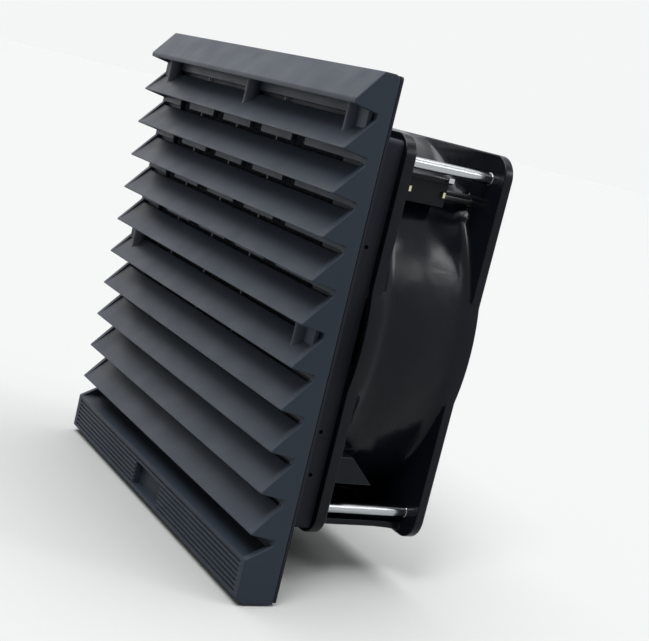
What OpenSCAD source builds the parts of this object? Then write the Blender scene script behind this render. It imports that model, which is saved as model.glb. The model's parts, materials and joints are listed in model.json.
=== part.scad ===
// Cabinet filter fan: louvred cover, base frame, filter mat and a compact axial fan.
// X runs to the right seen from outside, Y into the cabinet, Z up.
// The origin is the centre of the face that lies on the cabinet panel.

/* [Fan] */
// Side of the fan's square flanges, from which all widths follow
fan_w = 120; // [118:0.5:122]
// Depth of the fan
fan_depth = 38; // [36:0.5:40]
// Corner radius of the flanges
fan_corner_r = 7; // [5:0.5:7.5]
// Thickness of the front flange
front_flange_t = 3.6; // [3:0.1:4.2]
// Thickness of the rear flange
rear_flange_t = 3; // [2.6:0.1:3.6]
// Distance from the flanges' edges to the screw holes' centres
screw_inset = 7.5; // [7.2:0.1:7.8]
// Distance from the flanges' edges to the bore
bore_margin = 1.7; // [1.5:0.1:2.2]
// Wall of the duct at its parting ridge
duct_wall = 2.9; // [2.5:0.1:3]
// Rise of the flanges over the duct at the middle of the two sides
bulge_rise = 0.6; // [0.2:0.1:0.9]
// Draft of the duct's outside from its middle to an end
duct_draft = 0.8; // [0.4:0.1:1]
// Number of struts that carry the motor
strut_count = 4; // [4:1:4]
// Width of a strut
strut_w = 6; // [5:0.5:7]
// Depth of a strut
strut_t = 4; // [3.5:0.1:4.4]

/* [Cover] */
// Width of the cover outside the panel cut-out's collar, on each side
cover_border = 12.45; // [12:0.05:16]
// Distance from the panel to the front edges of the louvres
cover_depth = 12.8; // [12.2:0.1:15]
// Thickness of the side plates and skirts
cover_wall = 2; // [1.6:0.1:2.4]
// Number of louvre blades under the hood
blade_count = 10; // [8:1:11]
// Thickness of a blade's top plate
blade_t = 1.6; // [1.2:0.1:2]
// Height of the slit between a lip's lower edge and the next blade
slit_h = 1.2; // [1:0.1:1.8]
// Thickness of the upright lip that hangs from the rear edge of a blade
lip_t = 0.9; // [0.8:0.1:1.4]
// Distance from a blade's front edge down to the lower edge of its lip
lip_drop = 2.6; // [2.2:0.1:3]
// Drop of a side tooth's underside from its tip to the lip
tooth_under = 1.3; // [1:0.1:1.8]
// Drop from a side tooth's tip to the valley behind it
tooth_drop = 2.9; // [2.7:0.1:3.4]
// Height of the hood's slope
hood_drop = 8.4; // [7.5:0.1:9]
// Depth of the flat top behind the hood's slope
hood_setback = 5.9; // [5.5:0.1:6.5]
// Height of the hood's upright front edge
hood_fascia = 1.3; // [1:0.1:1.8]
// Width of a notch in a lip
notch_w = 8.5; // [5:0.5:10]
// Height of a notch in a lip
notch_h = 3; // [2.6:0.1:3.5]
// Spacing of the four notches in each lip
notch_pitch = 29; // [24:0.5:30]
// Distance of the row of notches from the middle of the cover, to the left
notch_shift = 9.6; // [0:0.2:12]
// Diameter of the posts under the hood and at the ends of a closed valley
post_d = 4.8; // [4:0.2:5]
// Distance of a post's centre behind the louvres' front edges
post_setback = 6.3; // [5.8:0.1:6.6]
// Distance of the end posts' centres inside the cover's sides
post_inset = 9.75; // [8:0.25:14]
// Thickness of the web between an end post and the cover's side
web_t = 1.2; // [1:0.1:2]

/* [Grip block] */
// Height of the grip block's front face
grip_h = 13.15; // [12.5:0.1:14.5]
// Height from the grip block's front top edge to the last louvre
grip_gap = 7.1; // [6.5:0.1:8]
// Spacing of the grip ribs
rib_pitch = 1.4; // [1.2:0.05:1.5]
// Depth of the grooves between the ribs
rib_depth = 0.6; // [0.4:0.1:0.9]
// Number of grooves
rib_count = 8; // [6:1:8]
// Radius of the cover's rounded top rear edge, which turns on the hinge
hinge_r = 1.7; // [1.4:0.1:1.8]
// Diameter of the hinge pins
pin_d = 1.8; // [1.6:0.1:2]
// Width of a hinge knuckle
knuckle_w = 6; // [5:0.5:8]
// Distance of the hinge knuckles from the middle
knuckle_x = 40; // [34:1:46]
// Width of the finger recess
recess_w = 21.5; // [18:0.5:26]
// Height of the finger recess
recess_h = 7.3; // [6:0.1:8]
// Depth of the finger recess
recess_d = 2.5; // [2:0.1:3]
// Depth of the chamfer at the bottom front edge
chamfer_d = 2.2; // [1.5:0.1:2.6]
// Height of the chamfer at the bottom front edge
chamfer_h = 1.6; // [1.2:0.1:2]

/* [Base frame] */
// Thickness of the base frame's flange
flange_t = 4; // [3.6:0.1:4.4]
// Thickness of the rim behind the cover's edge
rim_t = 0.8; // [0.6:0.1:1]
// Gap between the rim and the cover
rim_gap = 0.2; // [0.2:0.1:0.5]
// Step from the rear body out to the collar that passes through the panel cut-out
collar_step = 4; // [3.6:0.1:4.4]
// Depth of the collar behind the panel face
collar_depth = 7.4; // [7:0.1:8]
// Wall of the collar
collar_wall = 2.2; // [1.8:0.1:2.3]
// Distance of the narrower rear body inside the fan's flanges
body_inset = 2.2; // [1.8:0.1:2.4]
// Wall of the rear body
body_wall = 1.5; // [1.3:0.1:1.6]
// Distance from the panel face to the fan seat
fan_seat = 15.1; // [15:0.1:17]
// Thickness of the rear plate that carries the fan
seat_t = 2.5; // [2:0.1:3]
// Step from the fan's bore in to the round air opening of the rear plate
air_step = 2.5; // [2.2:0.1:4]
// Diameter of the panel screw holes
panel_hole_d = 4.5; // [4.2:0.1:5]
// Distance from the collar out to the panel screw holes' centres
panel_hole_gap = 5.2; // [4.2:0.1:5.4]
// Thickness of the foam gasket in the flange's groove
gasket_t = 1.5; // [1.2:0.1:2]
// Distance of the foam gasket inside the flange's edge
gasket_border = 2; // [1.6:0.1:3]

/* [Filter] */
// Distance of the mat's front behind the flange's front face
mat_setback = 0.3; // [0.3:0.1:1.5]
// Thickness of the filter grid
grid_t = 2; // [1.6:0.1:2.4]
// Spacing of the grid bars
grid_pitch = 11.6; // [10:0.2:14]
// Width of a grid bar
grid_bar = 2; // [1.6:0.1:2.6]

/* [Panel clips] */
// Width of a spring clip
clip_w = 10; // [8:0.5:14]
// Thickness of the clip's strip
clip_t = 0.6; // [0.5:0.05:0.7]
// Reach of a clip past the collar
clip_reach = 1.9; // [1.5:0.1:2.2]
// Distance from the panel face to a clip's free edge
clip_front = 2.2; // [2.1:0.1:2.6]
// Height of the clips above and below the middle
clip_z = 27.5; // [24:0.5:32]

/* [Screws] */
// Diameter of the long screws' plain shank
shank_d = 3.4; // [3.2:0.05:3.6]
// Diameter of the screws' thread
thread_d = 3.9; // [3.8:0.05:4]
// Diameter of a screw head
head_d = 8; // [7:0.5:8.4]
// Height of a screw head
head_h = 2.4; // [2:0.1:2.6]

/* [Impeller] */
// Number of impeller blades
vane_count = 7; // [5:1:9]
// Clearance between the blades' tips and the duct
vane_gap = 0.9; // [0.8:0.1:1.6]
// Outside radius of the impeller's hub
hub_r = 32.4; // [31.8:0.1:33.2]
// Wall of the hub
hub_wall = 1.6; // [1.4:0.1:1.7]
// Thickness of a blade
vane_t = 2; // [1.6:0.1:2.4]

/* [Motor] */
// Diameter of the shaft
shaft_d = 5; // [4.8:0.1:5.2]
// Outside diameter of a bearing
bearing_d = 13; // [12.8:0.1:13.4]
// Width of a bearing
bearing_b = 4; // [3.6:0.1:4.4]
// Outside radius of the bearing tube
tube_r = 8.2; // [8:0.1:8.6]
// Thickness of the rotor cage
cage_t = 5.1; // [4.6:0.1:5.6]
// Distance from the fan's front to the stator core
stator_setback = 16; // [15.5:0.5:16.5]
// Length of the stator core
stator_l = 12; // [10:0.5:13]
// Air gap between stator and rotor
air_gap = 0.5; // [0.35:0.05:0.7]

/* [Terminals] */
// Distance between the two terminals
terminal_pitch = 12; // [10:0.5:13]
// Width of a terminal
terminal_w = 1.6; // [1.2:0.1:2.8]
// Length of a terminal outside its block
terminal_l = 1.2; // [1:0.1:4]

/* [Hidden] */

round_fn = 96;
small_fn = 48;
fit = 0.05;
rest_gap = 0.3;

screw_o = fan_w / 2 - screw_inset;
bore_r = fan_w / 2 - bore_margin;
duct_r = bore_r + duct_wall;
bulge_r = duct_r + bulge_rise;
vane_r = bore_r - vane_gap;
air_r = bore_r - air_step;
body_w = fan_w - 2 * body_inset;
collar_w = body_w + 2 * collar_step;
cover_w = collar_w + 2 * cover_border;
panel_hole_o = collar_w / 2 + panel_hole_gap;

half = cover_w / 2;
skirt_y = -rim_t - rim_gap;
tip_y = -cover_depth;
blade_rear_y = -flange_t - 0.4;
root_y = blade_rear_y - lip_t;
first_tip = half - hood_drop - hood_fascia;
last_tip = -half + grip_h + grip_gap;
pitch = (first_tip - last_tip) / blade_count;
land = 0.4;
run = root_y - tip_y;
blade_slope = (pitch - lip_drop - land - slit_h) / run;
blade_tv = blade_t * sqrt(1 + blade_slope * blade_slope);
hood_slope = hood_drop / (cover_depth - hood_setback);
hood_tv = cover_wall * sqrt(1 + hood_slope * hood_slope);
tongue_x = half - 32.25;
closed_valleys = [0, 5];
post_y = tip_y + post_setback;
rib_w = 1.6;
hinge_y = skirt_y - hinge_r;
hinge_z = half - hinge_r;
hinge_clear = 0.1;

function tip_z(k) = first_tip - k * pitch;

// Height of the top face of louvre k and of its underside, at a distance behind the front edge
function face_z(k, behind) = tip_z(k) + land + blade_slope * behind;
function under_z(k, behind) = k > 0
  ? face_z(k, behind) - blade_tv
  : first_tip + hood_fascia - hood_tv + hood_slope * behind;

flange_half = half - cover_wall - rest_gap;
flange_y = -flange_t;
rim_half = half - 0.2;
gasket_margin = 0.15;
cavity_w = collar_w - 2 * collar_wall;
shoulder_t = 1.5;
shoulder_y = collar_depth - shoulder_t;
grid_rear = shoulder_y;
grid_front = grid_rear - grid_t;
mat_rear = grid_front - 0.2;
mat_front = flange_y + mat_setback;
mat_w = cavity_w - 0.8;

fan_front = fan_seat;
fan_rear = fan_seat + fan_depth;
fan_mid = (fan_front + fan_rear) / 2;
floor_t = 2;
duct_front = fan_front + front_flange_t;
duct_rear = fan_rear - rear_flange_t;
boss_d = head_d + 3;
head_front = fan_seat - seat_t - 0.4 - head_h;

plate_front = fan_rear - 3.3;
plate_rear = fan_rear - 0.4;
plate_r = hub_r + 0.8;
plate_step = 4.5;
strut_front = plate_rear - strut_t;
hub_front = fan_front + 6;
hub_rear = plate_front - 2.6;
cup_r = hub_r - hub_wall - fit;
cup_wall = 0.9;
cup_front = hub_front + 2.2;
cup_rear = hub_rear - 0.6;
cup_nose = cup_front - cup_wall;
cage_r = cup_r - cup_wall - fit;
cage_inner = cage_r - cage_t;
stator_r = cage_inner - air_gap;
stator_front = fan_front + stator_setback;
stator_rear = stator_front + stator_l;
shaft_r = shaft_d / 2;
cup_boss_r = shaft_r + 3.3;
cup_sleeve_r = shaft_r + 1.6;
cup_sleeve_rear = cup_front + 2.6;
bearing_r = bearing_d / 2;
front_bearing_y = stator_front - 4.6;
rear_bearing_y = plate_front - bearing_b - 1.6;
tube_front = front_bearing_y - 0.1;

// Places a drawing of X and Z as a slab from y0 to y1
module slab(y0, y1) {
  translate([0, y1, 0])
    rotate([90, 0, 0])
      linear_extrude(y1 - y0)
        children();
}

// Runs a drawing of Y and Z along X from x0 to x1
module along_x(x0, x1) {
  translate([x0, 0, 0])
    rotate([90, 0, 90])
      linear_extrude(x1 - x0)
        children();
}

// Turns a drawing of radius and Y about the fan's axis
module spun(fn = round_fn) {
  rotate([-90, 0, 0])
    rotate_extrude($fn = fn)
      children();
}

// Round bar along Y
module rod(r, y0, y1, x = 0, z = 0, fn = small_fn) {
  translate([x, y0, z])
    rotate([-90, 0, 0])
      cylinder(r = r, h = y1 - y0, $fn = fn);
}

// Ring about the fan's axis
module ring(r_out, r_in, y0, y1) {
  spun()
    translate([r_in, y0])
      square([r_out - r_in, y1 - y0]);
}

// Square drawing with rounded corners
module round_square(w, r) {
  for (a = [0, 90])
    rotate(a)
      square([w, w - 2 * r], center = true);
  for (x = [-1, 1], z = [-1, 1])
    translate([x * (w / 2 - r), z * (w / 2 - r)])
      circle(r = r, $fn = small_fn);
}

// Repeats a piece at the four fan screws
module at_screws() {
  for (x = [-1, 1], z = [-1, 1])
    translate([x * screw_o, 0, z * screw_o])
      children();
}

// Side of the cover: a saw-tooth outline
module side_outline() {
  teeth = [
    for (k = [0:blade_count])
      each [
        [tip_y, tip_z(k) + land], [tip_y, tip_z(k)],
        [root_y, tip_z(k) - tooth_under], [root_y, tip_z(k) - tooth_drop]
      ]
  ];
  translate([hinge_y, hinge_z])
    circle(r = hinge_r, $fn = small_fn);
  polygon(concat(
    [[skirt_y, hinge_z], [hinge_y, half], [-hood_setback, half], [tip_y, half - hood_drop]],
    teeth,
    [
      [tip_y, -half + grip_h], [tip_y, -half + chamfer_h],
      [tip_y + chamfer_d, -half], [skirt_y, -half]
    ]
  ));
}

// Post between the louvre k and the next one
module post(k, x) {
  front = post_setback - post_d / 2;
  foot = face_z(k + 1, front) - 0.2;
  translate([x, post_y, foot])
    cylinder(d = post_d, h = under_z(k, front) + 1 - foot, $fn = small_fn);
}

// Post and web that close the right end of a valley
module valley_end(k) {
  front = post_setback - web_t / 2;
  foot = face_z(k + 1, front) - 0.2;
  post(k, half - post_inset);
  translate([half - post_inset, tip_y + front, foot])
    cube([post_inset - cover_wall + 0.2, web_t, under_z(k, front) + 0.6 - foot]);
}

// Section of a blade: a sloping plate and the upright lip that hangs from its rear edge
module blade_outline() {
  rise = land + blade_slope * run;
  polygon([
    [0, 0], [0, land], [run, rise], [run + lip_t, rise],
    [run + lip_t, -lip_drop], [run, -lip_drop],
    [run, rise - blade_tv], [(blade_tv - land) / blade_slope, 0]
  ]);
}

module blade(k) {
  difference() {
    translate([0, tip_y, tip_z(k)])
      along_x(-half + 1, half - 1)
        blade_outline();
    for (i = [-1.5:1:1.5])
      translate([i * notch_pitch - notch_shift - notch_w / 2, root_y - 1, tip_z(k) - lip_drop - 1])
        cube([notch_w, lip_t + 2, notch_h + 1]);
  }
}

// Hood: flat top, slope, upright edge and lip
module hood() {
  along_x(-half + 1, half - 1)
    polygon([
      [tip_y, first_tip], [tip_y, first_tip + hood_fascia], [-hood_setback, half],
      [hinge_y, half], [hinge_y, half - cover_wall], [blade_rear_y, half - cover_wall],
      [blade_rear_y, first_tip - lip_drop], [root_y, first_tip - lip_drop],
      [root_y, min(under_z(0, run), half - cover_wall)],
      [tip_y + (hood_tv - hood_fascia) / hood_slope, first_tip]
    ]);
}

// Grip block under the last blade, hollow at its back
module grip_block() {
  top = -half + grip_h;
  front_wall = 2.2;
  top_rise = 1.6;
  recess_top = top - 2.8;
  difference() {
    union() {
      along_x(-half + 1, half - 1)
        polygon([
          [tip_y, top], [blade_rear_y, top + top_rise],
          [blade_rear_y, top + top_rise - 1.8], [tip_y + front_wall, top - 2],
          [tip_y + front_wall, -half + cover_wall + 1], [tip_y + front_wall + 1, -half + cover_wall],
          [skirt_y, -half + cover_wall], [skirt_y, -half],
          [tip_y + chamfer_d, -half], [tip_y, -half + chamfer_h]
        ]);
      translate([-recess_w / 2 - 1.6, tip_y + 1, -half + 1])
        cube([recess_w + 3.2, recess_d + 0.8, grip_h - 2]);
    }
    for (i = [0:rib_count - 1])
      translate([-half + 1.6, tip_y - 1, top - 1.3 - (i + 0.5) * rib_pitch])
        cube([cover_w - 3.2, 1 + rib_depth, rib_pitch / 2]);
    translate([-recess_w / 2, tip_y - 1, recess_top - recess_h])
      cube([recess_w, 1 + recess_d, recess_h]);
  }
}

// Snap tongue at the bottom of the cover, which enters the base flange
module snap_tongue() {
  w = 8;
  t = 1.4;
  front = tip_y + 1.6;
  translate([-w / 2, front, -half + 5.2])
    cube([w, -gasket_t - rest_gap - front, t]);
}

// Places a drawing on both hinge knuckles' centres
module at_knuckles() {
  for (s = [-1, 1])
    translate([s * knuckle_x, hinge_y, hinge_z])
      rotate([0, 90, 0])
        children();
}

// Rounded top rear edge of the cover with the pins that turn in the knuckles
module hinge_bead() {
  along_x(-half + 1, half - 1)
    translate([hinge_y, hinge_z])
      circle(r = hinge_r, $fn = small_fn);
}

module louvre_cover() {
  color("#3a3d44") {
    for (s = [-1, 1])
      along_x(s > 0 ? half - cover_wall : -half, s > 0 ? half : -half + cover_wall)
        side_outline();
    difference() {
      union() {
        hood();
        hinge_bead();
      }
      at_knuckles()
        cylinder(r = hinge_r + 2 * hinge_clear, h = knuckle_w + 0.6, center = true, $fn = small_fn);
    }
    at_knuckles()
      cylinder(d = pin_d, h = knuckle_w + 2, center = true, $fn = small_fn);
    for (k = [1:blade_count])
      blade(k);
    grip_block();
    for (i = [-1:1])
      translate([i * notch_pitch - notch_shift - rib_w / 2, root_y, last_tip])
        cube([rib_w, blade_rear_y - root_y, first_tip - last_tip + 4]);
    post(0, 0);
    for (k = closed_valleys) {
      valley_end(k);
      mirror([1, 0, 0])
        valley_end(k);
    }
    for (s = [-1, 1])
      translate([s * tongue_x, 0, 0])
        snap_tongue();
  }
}

// Slots in the base flange for the cover's snap tongues
module tongue_slots() {
  for (s = [-1, 1])
    translate([s * tongue_x - 5, flange_y - 1, -half + 4.6])
      cube([10, flange_t + 2, 2.8]);
}

// Window in the collar behind one clip
module clip_windows() {
  for (s = [-1, 1], t = [-1, 1])
    translate([s * (collar_w / 2 - collar_wall / 2), (0.7 + shoulder_y) / 2, t * clip_z])
      cube([collar_wall + 1, shoulder_y - 0.7, clip_w + 1], center = true);
}

// Small blind marks on both sides of the rear body
module side_marks() {
  for (s = [-1, 1], z = [clip_z - 0.8, -clip_z - 0.6, -clip_z - 13.7])
    translate([s * (body_w / 2 - 0.4), fan_seat - 4.1, z])
      rotate([0, 90, 0])
        cylinder(d = 1.3, h = 1.6, center = true, $fn = 12);
}

// Hollow along the flange's top edge in which the cover's rounded edge turns
module hinge_cradle() {
  along_x(-flange_half - 1, flange_half + 1)
    translate([hinge_y, hinge_z])
      circle(r = hinge_r + hinge_clear, $fn = small_fn);
}

// Knuckles on the flange's top edge, slit so that the pins snap in
module hinge_knuckles() {
  difference() {
    union() {
      at_knuckles()
        cylinder(r = hinge_r, h = knuckle_w, center = true, $fn = small_fn);
      for (s = [-1, 1])
        translate([s * knuckle_x - knuckle_w / 2, hinge_y - hinge_r + 0.3, flange_half - 3])
          cube([knuckle_w, 2 * hinge_r - 0.6, hinge_z - flange_half + 3]);
    }
    at_knuckles()
      cylinder(r = pin_d / 2 + fit, h = knuckle_w + 1, center = true, $fn = small_fn);
    for (s = [-1, 1])
      translate([s * knuckle_x, hinge_y, hinge_z])
        rotate([45, 0, 0])
          translate([-knuckle_w, -0.6, 0])
            cube([2 * knuckle_w, 1.2, hinge_r + 1]);
  }
}

module base_frame() {
  color("#34373d")
    difference() {
      union() {
        difference() {
          slab(flange_y, 0)
            round_square(2 * flange_half, 2);
          hinge_cradle();
        }
        slab(-rim_t, 0)
          round_square(2 * rim_half, 1);
        hinge_knuckles();
        slab(flange_y, collar_depth)
          round_square(collar_w, 2);
        slab(collar_depth - 1, fan_seat)
          round_square(body_w, 1.5);
      }
      slab(-gasket_t, 1)
        gasket_outline(gasket_margin);
      slab(flange_y - 1, shoulder_y)
        square(cavity_w, center = true);
      slab(shoulder_y - 1, fan_seat - seat_t)
        difference() {
          square(body_w - 2 * body_wall, center = true);
          for (x = [-1, 1], z = [-1, 1])
            translate([x * screw_o, z * screw_o])
              circle(d = boss_d, $fn = small_fn);
        }
      rod(air_r, 0, fan_seat + 1, fn = round_fn);
      at_screws() {
        rod(head_d / 2 + 0.4, shoulder_y - 1, fan_seat - seat_t);
        rod(thread_d / 2 + 0.2, 0, fan_seat + 1);
      }
      for (x = [-1, 1], z = [-1, 1])
        rod(panel_hole_d / 2, flange_y - 1, 1, x * panel_hole_o, z * panel_hole_o);
      tongue_slots();
      clip_windows();
      side_marks();
    }
}

// Band of the gasket, wider by a margin on both sides for its groove
module gasket_outline(margin) {
  difference() {
    square(2 * (flange_half - gasket_border + margin), center = true);
    square(collar_w + 2 * (gasket_margin - margin), center = true);
  }
}

module panel_gasket() {
  color("#17181a")
    slab(-gasket_t, 0)
      difference() {
        gasket_outline(0);
        for (x = [-1, 1], z = [-1, 1])
          translate([x * panel_hole_o, z * panel_hole_o])
            circle(d = panel_hole_d, $fn = small_fn);
      }
}

module filter_mat() {
  color("#2b2d30")
    slab(mat_front, mat_rear)
      square(mat_w, center = true);
}

module filter_grid() {
  bars = floor((mat_w / 2 - 3) / grid_pitch);
  color("#2f3238")
    slab(grid_front, grid_rear) {
      difference() {
        square(mat_w, center = true);
        square(mat_w - 6, center = true);
      }
      for (i = [-bars:bars]) {
        translate([i * grid_pitch, 0])
          square([grid_bar, mat_w - 1], center = true);
        translate([0, i * grid_pitch])
          square([mat_w - 1, grid_bar], center = true);
      }
    }
}

clip_root_x = collar_w / 2 - 1.2;
clip_root_y = shoulder_y - clip_t - 0.1;

// Spring clip on the right side at mid height
module clip() {
  tip_x = collar_w / 2 + clip_reach;
  color("#b9bcc0")
    translate([0, 0, -clip_w / 2]) {
      linear_extrude(clip_w)
        polygon([
          [clip_root_x - clip_t / 2, clip_root_y - clip_t / 2],
          [clip_root_x + clip_t / 2, clip_root_y + clip_t / 2],
          [tip_x, clip_front + 0.5], [tip_x, clip_front],
          [tip_x - 1, clip_front], [tip_x - 1, clip_front + 0.4]
        ]);
      translate([clip_root_x, clip_root_y, 0])
        cylinder(r = clip_t, h = clip_w, $fn = small_fn);
    }
}

module clip_right_upper() {
  translate([0, 0, clip_z])
    clip();
}

module clip_right_lower() {
  translate([0, 0, -clip_z])
    clip();
}

module clip_left_upper() {
  mirror([1, 0, 0])
    clip_right_upper();
}

module clip_left_lower() {
  mirror([1, 0, 0])
    clip_right_lower();
}

// Floors that run from flange to flange between the duct and its two lower corners
module corner_floors() {
  low = -fan_w / 2 + 1.8;
  high = low + floor_t;
  edge = -fan_w / 2 + 1;
  along_x(-screw_o + 0.5, screw_o - 0.5)
    polygon([
      [duct_front - 1, edge], [duct_front, edge], [duct_front + 2, low - 0.2], [duct_front + 5, low],
      [duct_rear - 9, low], [duct_rear - 4, low - 0.3], [duct_rear, edge], [duct_rear + 1, edge],
      [duct_rear + 1, high], [duct_front - 1, high]
    ]);
}

// Flat web between the front flange and the duct at the lower right
module corner_gusset() {
  top = -fan_w * 0.29;
  low = top - 8.2;
  x0 = sqrt(pow(duct_r - 1.5, 2) - pow(low, 2)) - 1;
  translate([x0, 0, 0])
    along_x(0, fan_w / 2 - 1.6 - x0)
      polygon([
        [duct_front - 1, top], [duct_front + 5, top],
        [duct_front + 13.6, low], [duct_front - 1, low]
      ]);
}

// Outline of a fan flange, which bulges round the duct on its two sides
module fan_flange() {
  difference() {
    union() {
      round_square(fan_w, fan_corner_r);
      intersection() {
        circle(r = bulge_r, $fn = round_fn);
        square([2 * bulge_r + 2, fan_w], center = true);
      }
    }
    circle(r = bore_r + 2, $fn = round_fn);
  }
}

// Outer wall of the duct with its parting ridge and flared ends
module duct_outline() {
  end_r = duct_r - duct_draft;
  flare = 4.5;
  polygon([
    [bore_r + 1.3, fan_front], [bore_r, fan_front + 4], [bore_r, fan_rear - 5], [bore_r + 1.3, fan_rear],
    [bulge_r, fan_rear], [bulge_r, duct_rear], [end_r, duct_rear - flare],
    [duct_r, fan_mid], [end_r, duct_front + flare], [bulge_r, duct_front], [bulge_r, fan_front]
  ]);
}

module motor_mount() {
  difference() {
    union() {
      spun()
        polygon([
          [tube_r - 1, plate_front], [plate_r - 1, plate_front], [plate_r, plate_front + 1],
          [plate_r, plate_rear], [plate_r - 2, plate_rear], [plate_r - 2.6, plate_rear - 0.8],
          [tube_r - 1, plate_rear - 0.8]
        ]);
      rod(tube_r, tube_front, plate_rear - 0.8);
      for (i = [0:strut_count - 1])
        rotate([0, 45 + i * 360 / strut_count, 0])
          translate([plate_r - 1, strut_front, -strut_w / 2])
            cube([bore_r - plate_r + 2.4, strut_t, strut_w]);
    }
    rod(shaft_r + 0.9, tube_front - 1, plate_rear + 1);
    rod(bearing_r + fit, tube_front - 1, front_bearing_y + bearing_b);
    rod(bearing_r + fit, rear_bearing_y, plate_rear + 1);
  }
}

lead_r = 0.9;
lead_in = 4.6;
lead_gap = 2.2;
lead_y = plate_rear - 1.6;
lead_turn = bulge_r + lead_r + 0.5;

// Places a piece on the upper right strut, with X along it
module on_lead_strut() {
  rotate([0, -45, 0])
    children();
}

// Groove for the two motor leads in the strut, the duct and the rear flange
module lead_channel() {
  on_lead_strut()
    translate([plate_r - 5, lead_y - lead_r - 0.2, -lead_gap])
      cube([lead_turn + lead_r + 0.4 - plate_r + 5, fan_depth, 2 * lead_gap]);
  on_lead_strut()
    translate([bulge_r + 0.3, duct_rear - 1, -lead_gap])
      cube([lead_turn + lead_r + 0.4 - bulge_r - 0.3, fan_depth, 2 * lead_gap]);
}

module fan_housing() {
  color("#16171a")
    difference() {
      union() {
        slab(fan_front, duct_front)
          fan_flange();
        slab(duct_rear, fan_rear)
          fan_flange();
        intersection() {
          spun()
            duct_outline();
          slab(fan_front, fan_rear)
            square([2 * bulge_r + 2, fan_w], center = true);
        }
        difference() {
          union() {
            corner_gusset();
            corner_floors();
          }
          rod(bore_r + 1, fan_front, fan_rear, fn = round_fn);
        }
        motor_mount();
      }
      at_screws() {
        rod(thread_d / 2 + 0.2, fan_front - 1, duct_front + 1);
        rod(thread_d / 2 + fit, duct_rear - 1, fan_rear + 1);
      }
      lead_channel();
    }
}

// Long screws from the base frame through both fan flanges
module fan_screws() {
  color("#c9ccd0")
    at_screws()
      difference() {
        union() {
          rod(head_d / 2, head_front, head_front + head_h);
          rod(thread_d / 2, head_front + head_h, duct_front);
          rod(shank_d / 2, duct_front, duct_rear);
          rod(thread_d / 2, duct_rear, fan_rear - 0.2);
        }
        for (a = [0, 90])
          rotate([0, a, 0])
            translate([-2.2, head_front - 1, -0.45])
              cube([4.4, 2.3, 0.9]);
      }
}

module spring_washers() {
  color("#9fa3a8")
    at_screws()
      difference() {
        rod(3.4, head_front + head_h, head_front + head_h + 0.2);
        rod(thread_d / 2 + fit, head_front, fan_seat);
        translate([0, head_front, -0.4])
          cube([head_d, 2 * head_h, 0.8]);
      }
}

module flat_washers() {
  color("#b4b7bb")
    at_screws()
      difference() {
        rod(3.9, head_front + head_h + 0.2, fan_seat - seat_t);
        rod(thread_d / 2 + fit, head_front, fan_seat);
      }
}

vane_root_chord = 30;
vane_tip_chord = 40;
vane_root_pitch = 42;
vane_tip_pitch = 27;
vane_rows = 6;
vane_steps = 9;
vane_mid = (hub_front + hub_rear) / 2 + 0.4;

function vane_mix(a, b, i) = a + (b - a) * i / vane_rows;

// Point of a blade: row i from hub to tip, step j along the chord, side -1 or 1
function vane_point(i, j, side) =
  let (
    r = vane_mix(hub_r - 0.7, vane_r, i),
    chord = vane_mix(vane_root_chord, vane_tip_chord, i),
    angle = vane_mix(vane_root_pitch, vane_tip_pitch, i),
    s = j / vane_steps - 0.5,
    camber = 0.09 * chord * (0.25 - s * s) * 4,
    thick = vane_t / 2 * (0.35 + 0.65 * sqrt(max(0, 1 - 4 * s * s))),
    n = camber + side * thick,
    u = s * chord * cos(angle) + n * sin(angle),
    v = s * chord * sin(angle) - n * cos(angle),
    sweep = 0.0035 * (r - hub_r),
    phi = (u / r + sweep * 2) * 180 / PI
  )
  [r * cos(phi), vane_mid + v, r * sin(phi)];

// Twisted blade between the hub and the bore
module vane() {
  loop = 2 * (vane_steps + 1);
  points = [
    for (i = [0:vane_rows])
      for (m = [0:loop - 1])
        m <= vane_steps
          ? vane_point(i, m, 1)
          : vane_point(i, loop - 1 - m, -1)
  ];
  sides = [
    for (i = [0:vane_rows - 1], m = [0:loop - 1], half_face = [0, 1])
      let (a = i * loop + m, b = i * loop + (m + 1) % loop)
        half_face == 0 ? [a, b, b + loop] : [a, b + loop, a + loop]
  ];
  last = vane_rows * loop;
  cap_a = [
    for (m = [0:vane_steps - 1], half_face = [0, 1])
      half_face == 0 ? [m + 1, m, loop - 1 - m] : [m + 1, loop - 1 - m, loop - 2 - m]
  ];
  cap_b = [
    for (m = [0:vane_steps - 1], half_face = [0, 1])
      half_face == 0
        ? [last + m, last + m + 1, last + loop - 1 - m]
        : [last + m + 1, last + loop - 2 - m, last + loop - 1 - m]
  ];
  polyhedron(points = points, faces = concat(sides, cap_a, cap_b), convexity = 4);
}

module impeller() {
  color("#1d1e21") {
    spun()
      polygon([
        [cup_boss_r + 0.2, hub_front + 1.4], [hub_r - 6, hub_front], [hub_r - 1.5, hub_front + 1],
        [hub_r, hub_front + 3], [hub_r, hub_rear], [hub_r - hub_wall, hub_rear],
        [hub_r - hub_wall, cup_front], [cup_boss_r + 0.2, cup_front]
      ]);
    for (i = [0:vane_count - 1])
      rotate([0, i * 360 / vane_count, 0])
        vane();
  }
}

module rotor_cup() {
  color("#8f9499")
    spun()
      polygon([
        [shaft_r, cup_nose], [cup_boss_r, cup_nose], [cup_boss_r, cup_front],
        [cup_r, cup_front], [cup_r, cup_rear], [cup_r - cup_wall, cup_rear],
        [cup_r - cup_wall, cup_front + cup_wall], [cup_sleeve_r, cup_front + cup_wall],
        [cup_sleeve_r, cup_sleeve_rear], [shaft_r, cup_sleeve_rear]
      ]);
}

module rotor_cage() {
  color("#a8abae") {
    ring(cage_r, cage_inner, stator_front, stator_rear);
    for (y = [stator_front - 1.4, stator_rear])
      ring(cage_r, cage_inner + 1, y, y + 1.4);
  }
}

groove_y = rear_bearing_y + bearing_b + 0.5;
groove_w = 0.6;

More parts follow.
